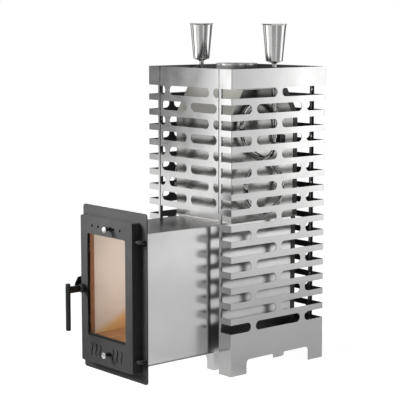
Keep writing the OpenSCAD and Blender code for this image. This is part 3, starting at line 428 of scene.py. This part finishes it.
# Painted highlight: a pale, barely metallic finish that paints a bright line on the lip plate and
# round the door plate's hole
HIGHLIGHT_STEEL = fired_steel("highlight_steel", (0.93, 0.91, 0.88), 0.1, 0.05)
GRIP_BLACK = satin_black("grip_black", (0.034, 0.034, 0.035), 0.35)
GLOSS_BLACK = satin_black("gloss_black", (0.03, 0.03, 0.031), 0.16)
set_value(GLOSS_BLACK, "Specular IOR Level", 0.7)

# Meshes

MERGE_DISTANCE = 2e-6
FLAT_ANGLE = 0.5
SHARP_ANGLE = 32
EDGE_ANGLE = 40
FOLD_SEGMENTS = 4
TUBE_ROUNDNESS = 6
# Two places count as the same within these distances
SAME_END = 1e-5
SAME_PLACE = 1e-4
Y_AXIS = 1
Z_AXIS = 2
UP = (0, 0, 1)
TO_FRONT = (0, -1, 0)
# A normal with this much along an axis faces along it, and with less than this, across it
FACING = 0.9
ACROSS = 0.5
# Inner faces lie deeper than this behind the outside
SURFACE_STEP = 0.001
# Radii of the broken edges in metres, from thin strips up to thick plate
STRIP_EDGE = 0.0002
THIN_EDGE = 0.0003
CUT_EDGE = 0.00035
SHEET_EDGE = 0.0004
PIN_EDGE = 0.0005
PLATE_EDGE = 0.0006
LEAF_EDGE = 0.0007
TURNED_EDGE = 0.0008
HINGE_EDGE = 0.0009
NUT_EDGE = 0.0012
ARM_EDGE = 0.0016
LIP_EDGE = 0.0022


def link(name, data):
    thing = bpy.data.objects.new(name, data)
    scene.collection.objects.link(thing)
    return thing


def solid_of(node):
    """A bmesh of a frame node, with the triangles of each flat face joined."""
    solid = bmesh.new()
    solid.from_mesh(nodes[node].data)
    bmesh.ops.remove_doubles(solid, verts=solid.verts, dist=MERGE_DISTANCE)
    flat = math.radians(FLAT_ANGLE)
    bmesh.ops.dissolve_limit(solid, angle_limit=flat, verts=solid.verts, edges=solid.edges)
    return solid


def mesh_of(solid, name, material):
    bmesh.ops.recalc_face_normals(solid, faces=solid.faces)
    for face in solid.faces:
        face.smooth = True
    mesh = bpy.data.meshes.new(name)
    solid.to_mesh(mesh)
    solid.free()
    mesh.materials.append(material)
    return mesh


def shade(thing):
    """Smooth shading, broken at sharp edges, with the flat faces kept flat."""
    thing.data.set_sharp_from_angle(angle=math.radians(SHARP_ANGLE))
    weighted = thing.modifiers.new("flat faces", "WEIGHTED_NORMAL")
    weighted.keep_sharp = True
    return thing


def round_edges(thing, width, segments):
    bevel = thing.modifiers.new("rounded edges", "BEVEL")
    bevel.width = width
    bevel.segments = segments
    bevel.limit_method = "ANGLE"
    bevel.angle_limit = math.radians(EDGE_ANGLE)
    bevel.use_clamp_overlap = True


def settle(thing, node):
    """Rides a piece on the body of the node it stands for, and hides that node."""
    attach(thing, nodes[node]["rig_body"])
    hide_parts(node)
    return thing


def dress(node, width, segments=2, folds=None, fold_width=0.0):
    """A copy of a node with broken edges; the edges picked as folds get a larger radius first."""
    solid = solid_of(node)
    if folds is not None:
        edges = [edge for edge in solid.edges if folds(edge)]
        bmesh.ops.bevel(
            solid,
            geom=edges,
            offset=fold_width,
            segments=FOLD_SEGMENTS,
            profile=0.5,
            affect="EDGES",
            clamp_overlap=True,
        )
    thing = link("piece_" + node, mesh_of(solid, node, MATERIALS[slot_of[node]]))
    round_edges(thing, width, segments)
    shade(thing)
    return settle(thing, node)


def paint(thing, material):
    """Gives a dressed piece another finish than its slot's usual one."""
    thing.data.materials[0] = material


def paint_faces(thing, material, picked):
    """Gives some faces of a dressed piece another finish, picked by centre and normal."""
    thing.data.materials.append(material)
    for face in thing.data.polygons:
        if picked(face.center, face.normal):
            face.material_index = 1


def edges_along(axis, firsts, seconds):
    """Picks edges along an axis at the given places on the other two axes."""
    first_axis, second_axis = [k for k in range(3) if k != axis]

    def picked(edge):
        start, end = (vert.co for vert in edge.verts)
        for k in (first_axis, second_axis):
            if abs(start[k] - end[k]) > SAME_END:
                return False
        at_first = any(abs(start[first_axis] - place) < SAME_PLACE for place in firsts)
        return at_first and any(abs(start[second_axis] - place) < SAME_PLACE for place in seconds)

    return picked


def lathe(name, profile, centre, axis, material, steps):
    """Turns a closed profile of (radius, height) points about an axis through a centre."""
    solid = bmesh.new()
    turn = Vector(UP).rotation_difference(Vector(axis)).to_matrix().to_4x4()
    place = Matrix.Translation(Vector(centre)) @ turn
    rings = []
    for radius, height in profile:
        if radius == 0:
            rings.append([solid.verts.new(place @ Vector((0, 0, height)))])
            continue
        ring = []
        for i in range(steps):
            a = 2 * math.pi * i / steps
            point = Vector((radius * math.cos(a), radius * math.sin(a), height))
            ring.append(solid.verts.new(place @ point))
        rings.append(ring)
    closed = len(rings[0]) > 1
    count = len(rings) if closed else len(rings) - 1
    for k in range(count):
        low = rings[k]
        high = rings[(k + 1) % len(rings)]
        for i in range(steps):
            j = (i + 1) % steps
            corners = [low[i % len(low)], low[j % len(low)]]
            corners += [high[j % len(high)], high[i % len(high)]]
            unique = list(dict.fromkeys(corners))
            if len(unique) > 2:
                solid.faces.new(unique)
    return shade(link(name, mesh_of(solid, name, material)))


def arc(centre, radius, start, end, steps):
    """Points round a centre in a profile, angles in degrees."""
    points = []
    for i in range(steps + 1):
        a = math.radians(start + (end - start) * i / steps)
        points.append((centre[0] + radius * math.cos(a), centre[1] + radius * math.sin(a)))
    return points


def tube(name, points, radius, material):
    """A round tube along a list of points."""
    data = bpy.data.curves.new(name, "CURVE")
    data.dimensions = "3D"
    spline = data.splines.new("POLY")
    spline.points.add(len(points) - 1)
    for point, place in zip(spline.points, points):
        point.co = (*place, 1)
    spline.use_smooth = True
    data.bevel_depth = radius
    data.bevel_resolution = TUBE_ROUNDNESS
    data.use_fill_caps = True
    data.materials.append(material)
    return link(name, data)


# Cage

cage_low, cage_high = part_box("cage_right")
cage_front_y = cage_low.y
cage_back_y = cage_high.y
cage_x = cage_high.x
mid_y = (cage_front_y + cage_back_y) / 2
FOLD = 0.0024
SEAM_FOLD = 0.0036
# The inner faces of the front and back sheets lie no deeper than this
CAGE_SHEET = 0.0022
# The sheets' seams lie between these distances from the cage's sides
SEAM_NEAR = 0.052
SEAM_FAR = 0.062


def shaded_cage_inside(middle, normal):
    """Picks the cage's inner faces and the cut edges in its seams, which get painted shade."""
    from_side = cage_x - abs(middle.x)
    from_front = middle.y - cage_front_y
    from_back = cage_back_y - middle.y
    if SEAM_NEAR < from_side < SEAM_FAR and abs(normal.x) > FACING:
        return True
    if from_side > SURFACE_STEP and normal.x * middle.x < -FACING * abs(middle.x):
        return True
    if SURFACE_STEP < from_front < CAGE_SHEET and normal.y > FACING:
        return True
    return SURFACE_STEP < from_back < CAGE_SHEET and normal.y < -FACING


def make_cage():
    folds = edges_along(Z_AXIS, [cage_x, -cage_x], [cage_front_y, cage_back_y])
    for name in ("cage_right", "cage_left"):
        paint_faces(dress(name, CUT_EDGE, 2, folds, FOLD), CAGE_PAINTED_SHADE, shaded_cage_inside)
    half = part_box("cage_front")[1].x
    folds = edges_along(Z_AXIS, [half, -half], [cage_front_y, cage_back_y])
    for name in ("cage_front", "cage_back"):
        paint_faces(dress(name, CUT_EDGE, 2, folds, SEAM_FOLD), CAGE_PAINTED_SHADE, shaded_cage_inside)
    for name in ("base_rail", "stand_front", "stand_rear"):
        dress(name, SHEET_EDGE)
    dress("cage_rivets", PLATE_EDGE, 3)


# Firebox and heater body

CHANNEL_FOLD = 0.0032
# A thin bead lies on each lower edge of the fuel channel, partly sunk into its side
BEAD_R = 0.0014
BEAD_HEIGHT = 0.0048
BEAD_SUNK = 0.0002
BEAD_START = 0.0005
BEAD_END = 0.001
# Faces of the heater body count as its roof above this height, where they face up
ROOF_LOW = 0.6
ROOF_FACING = 0.2
COLLAR_SHEET = 0.0018
COLLAR_BEAD = 0.0006


def make_firebox():
    low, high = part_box("fuel_channel")
    back_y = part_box("firebox")[1].y

    def inside(middle, normal):
        in_width = abs(middle.x) < high.x - SURFACE_STEP
        in_height = low.z + SURFACE_STEP < middle.z < high.z - SURFACE_STEP
        return in_width and in_height and middle.y < back_y - SURFACE_STEP

    corners = edges_along(Y_AXIS, [low.x, high.x], [low.z, high.z])
    for name in ("fuel_channel", "firebox"):
        paint_faces(dress(name, SHEET_EDGE, 2, corners, CHANNEL_FOLD), FIREBOX_INSIDE, inside)
    for name in ("hearth_plate", "ash_drawer", "smoke_baffle", "firebox_shield", "body_shield"):
        dress(name, SHEET_EDGE)
    dress("grate", NUT_EDGE, 3)
    z = low.z + BEAD_HEIGHT
    for name, side in (("left", -1), ("right", 1)):
        x = side * (high.x - BEAD_SUNK)
        run = [(x, low.y + BEAD_START, z), (x, cage_front_y + BEAD_END, z)]
        bead = tube("channel_bead_" + name, run, BEAD_R, BEAD_STEEL)
        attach(bead, nodes["fuel_channel"]["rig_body"])


def roof_face(middle, normal):
    return normal.z > ROOF_FACING and middle.z > ROOF_LOW


def make_heater_body():
    # The lip plate is painted pale, as a painted highlight along its edge
    paint(dress("lip_plate", LIP_EDGE, 4), HIGHLIGHT_STEEL)
    paint_faces(dress("heater_body", TURNED_EDGE, 3), ROOF_STEEL, roof_face)
    make_collar()


def make_collar():
    """Polished flue collar with a rolled bead round its mouth."""
    low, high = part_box("flue_collar")
    centre = ((low.x + high.x) / 2, (low.y + high.y) / 2, low.z)
    radius = (high.x - low.x) / 2
    wall = radius - COLLAR_BEAD
    bore = wall - COLLAR_SHEET
    top = high.z - low.z
    neck = top - 2.4 * COLLAR_BEAD
    profile = [(wall, 0), (wall, neck)]
    profile += arc((wall, top - COLLAR_BEAD), COLLAR_BEAD, -60, 180, 10)
    profile += [(bore, neck), (bore, 0)]
    collar = lathe("flue_collar_spun", profile, centre, UP, COLLAR_STEEL, 128)
    settle(collar, "flue_collar")


# Steam tubes

TUBE_R = 0.008
LOOP_R = 0.086
LOOP_H = 0.094
LOOP_FRONT = 0.031
BEND_R = 0.030
COIL_LEAD = 0.040
COIL_DROP = 0.034
COIL_CLIMB = 0.004
COIL_GAP = 0.015
# The spun cups' radii, heights and sheet
CUP_HEIGHT = 0.117
CUP_SHEET = 0.0012
CUP_BEAD = 0.0010
CUP_LIP = 0.0025
CUP_FOOT = 0.0275
CUP_FOOT_ROUND = 0.003
CUP_CONE = 0.012
CUP_STEM = 0.008
CUP_STEM_ROUND = 0.004
CUP_BORE = 0.0065


def sweep(cy, cz, radius, start, end, x0, x1, steps):
    """Points on an arc seen from +X that drifts from x0 to x1."""
    points = []
    for i in range(steps + 1):
        f = i / steps
        a = math.radians(start + (end - start) * f)
        points.append((x0 + (x1 - x0) * f, cy + radius * math.cos(a), cz + radius * math.sin(a)))
    return points


def coil_path():
    """Centre line of the right coil: down, once round the lower loop and over the upper one."""
    low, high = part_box("steam_coil_right")
    tube_low, tube_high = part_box("steam_tube_right")
    cup_x = (tube_low.x + tube_high.x) / 2
    near_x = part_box("heater_body")[1].x + COIL_GAP
    cross_x = near_x + COIL_CLIMB
    middle = (low.z + high.z) / 2
    turn = math.asin(LOOP_R / LOOP_H)
    bend_z = LOOP_FRONT / math.tan(turn) + BEND_R * math.tan(turn / 2)
    angle = math.degrees(turn)
    points = [(cup_x, LOOP_FRONT, bend_z + COIL_LEAD)]
    points += sweep(LOOP_FRONT - BEND_R, bend_z, BEND_R, 0, -angle, cup_x, cup_x, 12)
    points += [(cup_x, 0, 0)]
    points += sweep(0, -LOOP_H, LOOP_R, 180 - angle, 360 + angle, cup_x, cross_x, 72)
    points += [(cross_x, 0, 0)]
    points += sweep(0, LOOP_H, LOOP_R, 180 + angle, 0, cross_x, near_x, 72)
    points += [(near_x, LOOP_R, LOOP_H - COIL_DROP)]
    return [(x, y + mid_y - LOOP_FRONT, z + middle) for x, y, z in points]


def make_coils():
    for name, side in (("right", 1), ("left", -1)):
        points = [(x * side, y, z) for x, y, z in coil_path()]
        coil = tube("coil_" + name, points, TUBE_R, SHADED_TUBE_STEEL)
        settle(coil, "steam_coil_" + name)
        paint(dress("steam_tube_" + name, THIN_EDGE), SHADED_TUBE_STEEL)
        dress("coil_socket_" + name, TURNED_EDGE, 3)
    paint(dress("couplings", TURNED_EDGE, 3), SHADED_TUBE_STEEL)
    dress("tube_clips", PLATE_EDGE, 3)
    dress("union_nuts", NUT_EDGE, 3)


def make_cups():
    """Spun cups: a stem, a short foot cone, the tall wall and a rolled rim."""
    for name in ("cup_right", "cup_left"):
        low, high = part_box(name)
        centre = ((low.x + high.x) / 2, (low.y + high.y) / 2, 0)
        rim = (high.x - low.x) / 2
        top = high.z
        wall = rim - CUP_LIP
        foot_z = top - CUP_HEIGHT
        cone_z = foot_z - CUP_CONE
        outer = [(CUP_STEM, low.z), (CUP_STEM, cone_z)]
        outer += arc((CUP_STEM + CUP_STEM_ROUND, cone_z), CUP_STEM_ROUND, 180, 115, 5)
        outer += [(CUP_FOOT - 0.004, foot_z - 0.0035)]
        outer += arc((CUP_FOOT - CUP_FOOT_ROUND, foot_z), CUP_FOOT_ROUND, -60, 0, 6)
        outer += [(wall, top - 0.006), (wall + 0.0004, top - 0.004)]
        outer += arc((rim - CUP_BEAD, top - CUP_BEAD), CUP_BEAD, -60, 150, 9)
        inner = [(wall - CUP_SHEET, top - 0.005), (CUP_FOOT - CUP_SHEET, foot_z + CUP_SHEET)]
        inner += [(CUP_FOOT - 0.004, foot_z - 0.002), (CUP_BORE, foot_z - 0.0078)]
        inner += [(CUP_BORE, low.z)]
        chrome = MATERIALS["steam_chrome"]
        cup = lathe(name + "_spun", outer + inner, centre, UP, chrome, 96)
        settle(cup, name)


# Door

# The plate's hole and the leaf's openings: half of the width, and from low to high
PLATE_HOLE = (0.1135, 0.08, 0.47)
LEAF_OPENINGS = (0.1, 0.06, 0.512)
# The rope: length of one turn of its strands, distance of its rings, radius of its corners
ROPE_LAY = 0.018
ROPE_STEP = 0.0016
ROPE_CORNER = 0.006
STRANDS = 3
STRAND_SIDES = 8
# A strand's distance from the rope's middle, and its radius, in parts of the rope's radius
STRAND_OUT = 0.46
STRAND_R = 0.54


def within(middle, opening):
    half, low, high = opening
    return abs(middle.x) < half and low < middle.z < high


# Picks the side faces of the door plate's hole, which get a painted highlight line
def plate_hole_side(middle, normal):
    return within(middle, PLATE_HOLE) and abs(normal.x) > FACING


# Picks the cut edges of the leaf's openings, which get painted shade
def leaf_cut_edge(middle, normal):
    return within(middle, LEAF_OPENINGS) and abs(normal.y) < ACROSS


def make_door():
    paint_faces(dress("door_plate", PLATE_EDGE, 3), HIGHLIGHT_STEEL, plate_hole_side)
    paint_faces(dress("door_leaf", LEAF_EDGE, 3), RECESS_SHADE_BLACK, leaf_cut_edge)
    paint(dress("leaf_frame", THIN_EDGE), FRAME_STEEL)
    for name in ("glass_clips", "upper_guides", "lower_guides"):
        dress(name, THIN_EDGE)
    paint(dress("window_liners", THIN_EDGE), LINER_STEEL)
    for name in ("upper_slider", "lower_slider"):
        paint(dress(name, STRIP_EDGE), RECESS_SHADE_BLACK)
    dress("glass_seal", STRIP_EDGE)
    for name in ("hinge_lugs", "hinge_knuckles"):
        paint(dress(name, HINGE_EDGE, 4), GLOSS_BLACK)
    for name in ("latch_keeper", "latch_tongue", "handle_bush"):
        dress(name, TURNED_EDGE, 3)
    for name in ("hinge_pins", "clip_screws", "shaft_nut", "handle_shaft"):
        dress(name, PIN_EDGE, 3)
    dress("door_glass", SHEET_EDGE)
    make_gasket()


def frame_path(low, high, corner, step):
    """Evenly spaced points (x, z) round an upright frame with rounded corners."""
    corners = [
        (high.x - corner, high.z - corner, 0),
        (low.x + corner, high.z - corner, 90),
        (low.x + corner, low.z + corner, 180),
        (high.x - corner, low.z + corner, 270),
    ]
    rough = []
    for x, z, start in corners:
        rough += arc((x, z), corner, start, start + 90, 8)
    rough.append(rough[0])
    lengths = [0]
    for first, second in zip(rough, rough[1:]):
        lengths.append(lengths[-1] + math.dist(first, second))
    count = round(lengths[-1] / step)
    points = []
    k = 0
    for i in range(count):
        along = lengths[-1] * i / count
        while lengths[k + 1] < along:
            k += 1
        f = (along - lengths[k]) / (lengths[k + 1] - lengths[k])
        points.append(tuple(a + (b - a) * f for a, b in zip(rough[k], rough[k + 1])))
    return points


def make_gasket():
    """The seal rope of the door: three strands laid round each other, in one closed loop."""
    low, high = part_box("door_gasket")
    radius = (high.y - low.y) / 2
    offset = Vector((radius, 0, radius))
    path = frame_path(low + offset, high - offset, ROPE_CORNER, ROPE_STEP)
    count = len(path)
    middle_y = (low.y + high.y) / 2
    turns = round(count * ROPE_STEP / ROPE_LAY)
    out = radius * STRAND_OUT
    inward = Vector((0, 1, 0))
    solid = bmesh.new()
    for strand in range(STRANDS):
        rings = []
        for i, (x, z) in enumerate(path):
            before = path[i - 1]
            after = path[(i + 1) % count]
            along = Vector((after[0] - before[0], 0, after[1] - before[1])).normalized()
            side = along.cross(inward)
            turn = 2 * math.pi * (turns * i / count + strand / STRANDS)
            middle = Vector((x, middle_y + out * math.sin(turn), z))
            middle += side * (out * math.cos(turn))
            ring = []
            for k in range(STRAND_SIDES):
                a = 2 * math.pi * k / STRAND_SIDES
                spoke = side * math.cos(a) + inward * math.sin(a)
                ring.append(solid.verts.new(middle + spoke * (radius * STRAND_R)))
            rings.append(ring)
        for i, ring in enumerate(rings):
            ahead = rings[(i + 1) % count]
            for k in range(STRAND_SIDES):
                m = (k + 1) % STRAND_SIDES
                solid.faces.new([ring[k], ring[m], ahead[m], ahead[k]])
    rope = link("door_gasket_rope", mesh_of(solid, "door_gasket_rope", MATERIALS["rope"]))
    settle(rope, "door_gasket")


# The knobs' rounded edge, and the width and rise of the rim inside it
KNOB_EDGE = 0.0012
KNOB_RIM = 0.0035
KNOB_RISE = 0.0004
GRIP_EDGE = 0.004


def make_knobs():
    """Turned knobs with a rounded edge and a slightly domed face, on their stems."""
    for name in ("upper_knob", "lower_knob"):
        low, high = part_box(name)
        centre = ((low.x + high.x) / 2, high.y, (low.z + high.z) / 2)
        radius = (high.x - low.x) / 2
        thick = high.y - low.y
        flat = radius - KNOB_EDGE
        profile = [(0, 0), (flat, 0)]
        profile += arc((flat, KNOB_EDGE), KNOB_EDGE, -90, 90, 8)[1:]
        profile += [(radius - KNOB_RIM, 2 * KNOB_EDGE + KNOB_RISE)]
        profile += [(radius * 0.4, thick - 0.0001), (0, thick)]
        knob = lathe(name + "_turned", profile, centre, TO_FRONT, MATERIALS["knob_chrome"], 64)
        settle(knob, name)
        dress(name + "_stem", SHEET_EDGE, 3)


def make_handle():
    low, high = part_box("handle_grip")
    radius = (high.x - low.x) / 2
    centre = ((low.x + high.x) / 2, (low.y + high.y) / 2, low.z)
    length = high.z - low.z
    flat = radius - GRIP_EDGE
    profile = [(0, 0)]
    profile += arc((flat, GRIP_EDGE), GRIP_EDGE, -90, 0, 8)
    profile += arc((flat, length - GRIP_EDGE), GRIP_EDGE, 0, 90, 8)
    profile += [(0, length)]
    grip = lathe("grip_turned", profile, centre, UP, GRIP_BLACK, 64)
    settle(grip, "handle_grip")
    dress("handle_arm", ARM_EDGE, 4)
    dress("handle_boss", THIN_EDGE)


# Studio

WORLD_LIGHT = 0.04
FLOOR_RADIUS = 14
# Each ramp adds a gain to the floor's glow between two distances from a place
# The seen floor glows a little less near the stove, so that the shadow shows
FLOOR_SHADE = 0.5
FLOOR_GLOW = 0.94
FLOOR_RAMPS = (((0, 0, 0), 0.9, 2.2, 0.06),)
# Painted shadow and light on the floor as steel mirrors it: darker beside the stove than under it
# and farther out
POOL_SHADE = 0.3
POOL_GLOW = 0.68
PAINTED_SHADOW_RAMPS = (
    ((0, -0.3, 0), 0.27, 0.55, -0.38),
    ((-0.6, -0.6, 0), 0.5, 1.5, 0.36),
    ((-0.6, -0.6, 0), 2.2, 3.2, 0.42),
)


def background(tree, strength):
    """White light from all round."""
    light = tree.nodes.new("ShaderNodeBackground")
    light.inputs["Color"].default_value = (1, 1, 1, 1)
    light.inputs["Strength"].default_value = strength
    return light.outputs[0]


def make_world():
    """A studio that looks white, and gives the surfaces only a little light."""
    world = bpy.data.worlds.new("studio")
    world.use_nodes = True
    tree = world.node_tree
    tree.nodes.clear()
    output = tree.nodes.new("ShaderNodeOutputWorld")
    seen = any_ray(tree, "Is Camera Ray", "Is Glossy Ray", "Is Transmission Ray")
    both = mixed(tree, seen, background(tree, WORLD_LIGHT), background(tree, 1.0))
    tree.links.new(both, output.inputs["Surface"])
    scene.world = world


def make_floor():
    """A pale floor that shows white where no shadow falls."""
    solid = bmesh.new()
    bmesh.ops.create_circle(solid, cap_ends=True, segments=64, radius=FLOOR_RADIUS)
    floor = link("floor", mesh_of(solid, "floor", floor_paint()))


def lit_floor(tree, tone, glow=None):
    """A grey floor, with some glow of its own where an output gives it."""
    grey = tree.nodes.new("ShaderNodeBsdfDiffuse")
    grey.inputs["Color"].default_value = (tone, tone, tone, 1)
    if glow is None:
        return grey.outputs[0]
    light = tree.nodes.new("ShaderNodeEmission")
    tree.links.new(glow, light.inputs["Strength"])
    both = tree.nodes.new("ShaderNodeAddShader")
    tree.links.new(grey.outputs[0], both.inputs[0])
    tree.links.new(light.outputs[0], both.inputs[1])
    return both.outputs[0]


def varied_glow(tree, start, ramps):
    """Brightness of the floor that changes with the distance from some places."""
    place = tree.nodes.new("ShaderNodeTexCoord")
    total = tree.nodes.new("ShaderNodeValue")
    total.outputs[0].default_value = start
    level = total.outputs[0]
    for centre, near, far, gain in ramps:
        distance = tree.nodes.new("ShaderNodeVectorMath")
        distance.operation = "DISTANCE"
        distance.inputs[1].default_value = centre
        tree.links.new(place.outputs["Object"], distance.inputs[0])
        ramp = tree.nodes.new("ShaderNodeMapRange")
        ramp.interpolation_type = "SMOOTHSTEP"
        ramp.inputs["From Min"].default_value = near
        ramp.inputs["From Max"].default_value = far
        ramp.inputs["To Max"].default_value = gain
        tree.links.new(distance.outputs["Value"], ramp.inputs["Value"])
        both = tree.nodes.new("ShaderNodeMath")
        tree.links.new(level, both.inputs[0])
        tree.links.new(ramp.outputs["Result"], both.inputs[1])
        level = both.outputs[0]
    return level


def floor_paint():
    """Pale floor: white to the camera and through glass, and greyer with painted shadow beside
    the stove where steel mirrors it.
    """
    material, tree, output = new_tree("floor_paint")
    lighting = lit_floor(tree, FLOOR_SHADE)
    mirrored_shadow = lit_floor(tree, POOL_SHADE, varied_glow(tree, POOL_GLOW, PAINTED_SHADOW_RAMPS))
    pale = lit_floor(tree, FLOOR_SHADE, varied_glow(tree, FLOOR_GLOW, FLOOR_RAMPS))
    unseen = mixed(tree, any_ray(tree, "Is Glossy Ray"), lighting, mirrored_shadow)
    seen = any_ray(tree, "Is Camera Ray", "Is Transmission Ray")
    tree.links.new(mixed(tree, seen, unseen, pale), output.inputs["Surface"])
    return material


def softbox(name, place, target, size, power):
    """A white area lamp that faces a target."""
    data = bpy.data.lights.new(name, "AREA")
    data.shape = "RECTANGLE"
    data.size = size[0]
    data.size_y = size[1]
    data.energy = power
    lamp = link(name, data)
    lamp.location = place
    lamp.rotation_euler = (Vector(target) - Vector(place)).to_track_quat("-Z", "Y").to_euler()
    return lamp


def reflection_card(name, place, size, tone):
    """A grey studio card that faces the stove and shows only in reflections."""
    material, tree, output = new_tree(name + "_grey")
    glow = tree.nodes.new("ShaderNodeEmission")
    glow.inputs["Color"].default_value = (tone, tone, tone, 1)
    tree.links.new(glow.outputs[0], output.inputs["Surface"])
    solid = bmesh.new()
    x = size[0] / 2
    y = size[1] / 2
    corners = [(-x, -y, 0), (x, -y, 0), (x, y, 0), (-x, y, 0)]
    solid.faces.new([solid.verts.new(corner) for corner in corners])
    card = link(name, mesh_of(solid, name, material))
    card.location = place
    level = Vector((-place[0], -place[1], 0))
    card.rotation_euler = level.to_track_quat("Z", "Y").to_euler()
    card.visible_camera = False
    card.visible_diffuse = False
    card.visible_transmission = False
    card.visible_shadow = False


def make_cards():
    reflection_card("card_left", (-2.281, -1.481, 1.3), (0.87, 1.76), 0.22)
    reflection_card("card_rear", (-1.95, 1.66, 1.6), (4.2, 3.0), 0.24)
    reflection_card("card_right", (2.54, 0.54, 0.95), (2.0, 2.0), 0.45)
    reflection_card("card_camera", (2.9, -3.1, 1.1), (3.4, 3.2), 0.42)
    reflection_card("card_back", (0.24, 2.79, 0.9), (1.2, 2.4), 0.12)


def make_lamps():
    middle = (0, 0.1, 0.6)
    softbox("overhead", (0.2, -0.6, 3.0), middle, (2.0, 2.0), 10)
    mirrored = [
        softbox("front_side", (-1.5, -2.15, 0.68), (0, 0, 0.6), (1.1, 0.62), 4.0),
        softbox("front_low", (-2.1, -1.7, 0.15), (0, 0, 0.6), (1.0, 0.35), 0.62),
        softbox("right_rear", (1.9, 2.6, 1.0), middle, (1.1, 2.0), 4.6),
        softbox("right_strip", (1.74, 1.86, 0.83), (0.2, 0.2, 0.8), (0.16, 0.94), 0.5),
    ]
    for lamp in mirrored:
        lamp.visible_diffuse = False
    key = softbox("front_key", (-1.3, -2.2, 2.0), (0, -0.3, 1.25), (2.0, 1.3), 23)
    key.data.spread = math.radians(54)
    inner = softbox("firebox_warm", (0.09, -0.16, 0.32), (-0.12, -0.22, 0.3), (0.3, 0.3), 0.6)
    for lamp in (key, inner):
        lamp.visible_camera = False
        lamp.visible_glossy = False
        lamp.visible_transmission = False


make_camera()
make_cage()
make_firebox()
make_heater_body()
make_coils()
make_cups()
make_door()
make_knobs()
make_handle()
make_world()
make_floor()
make_cards()
make_lamps()
scene.view_settings.view_transform = "Standard"
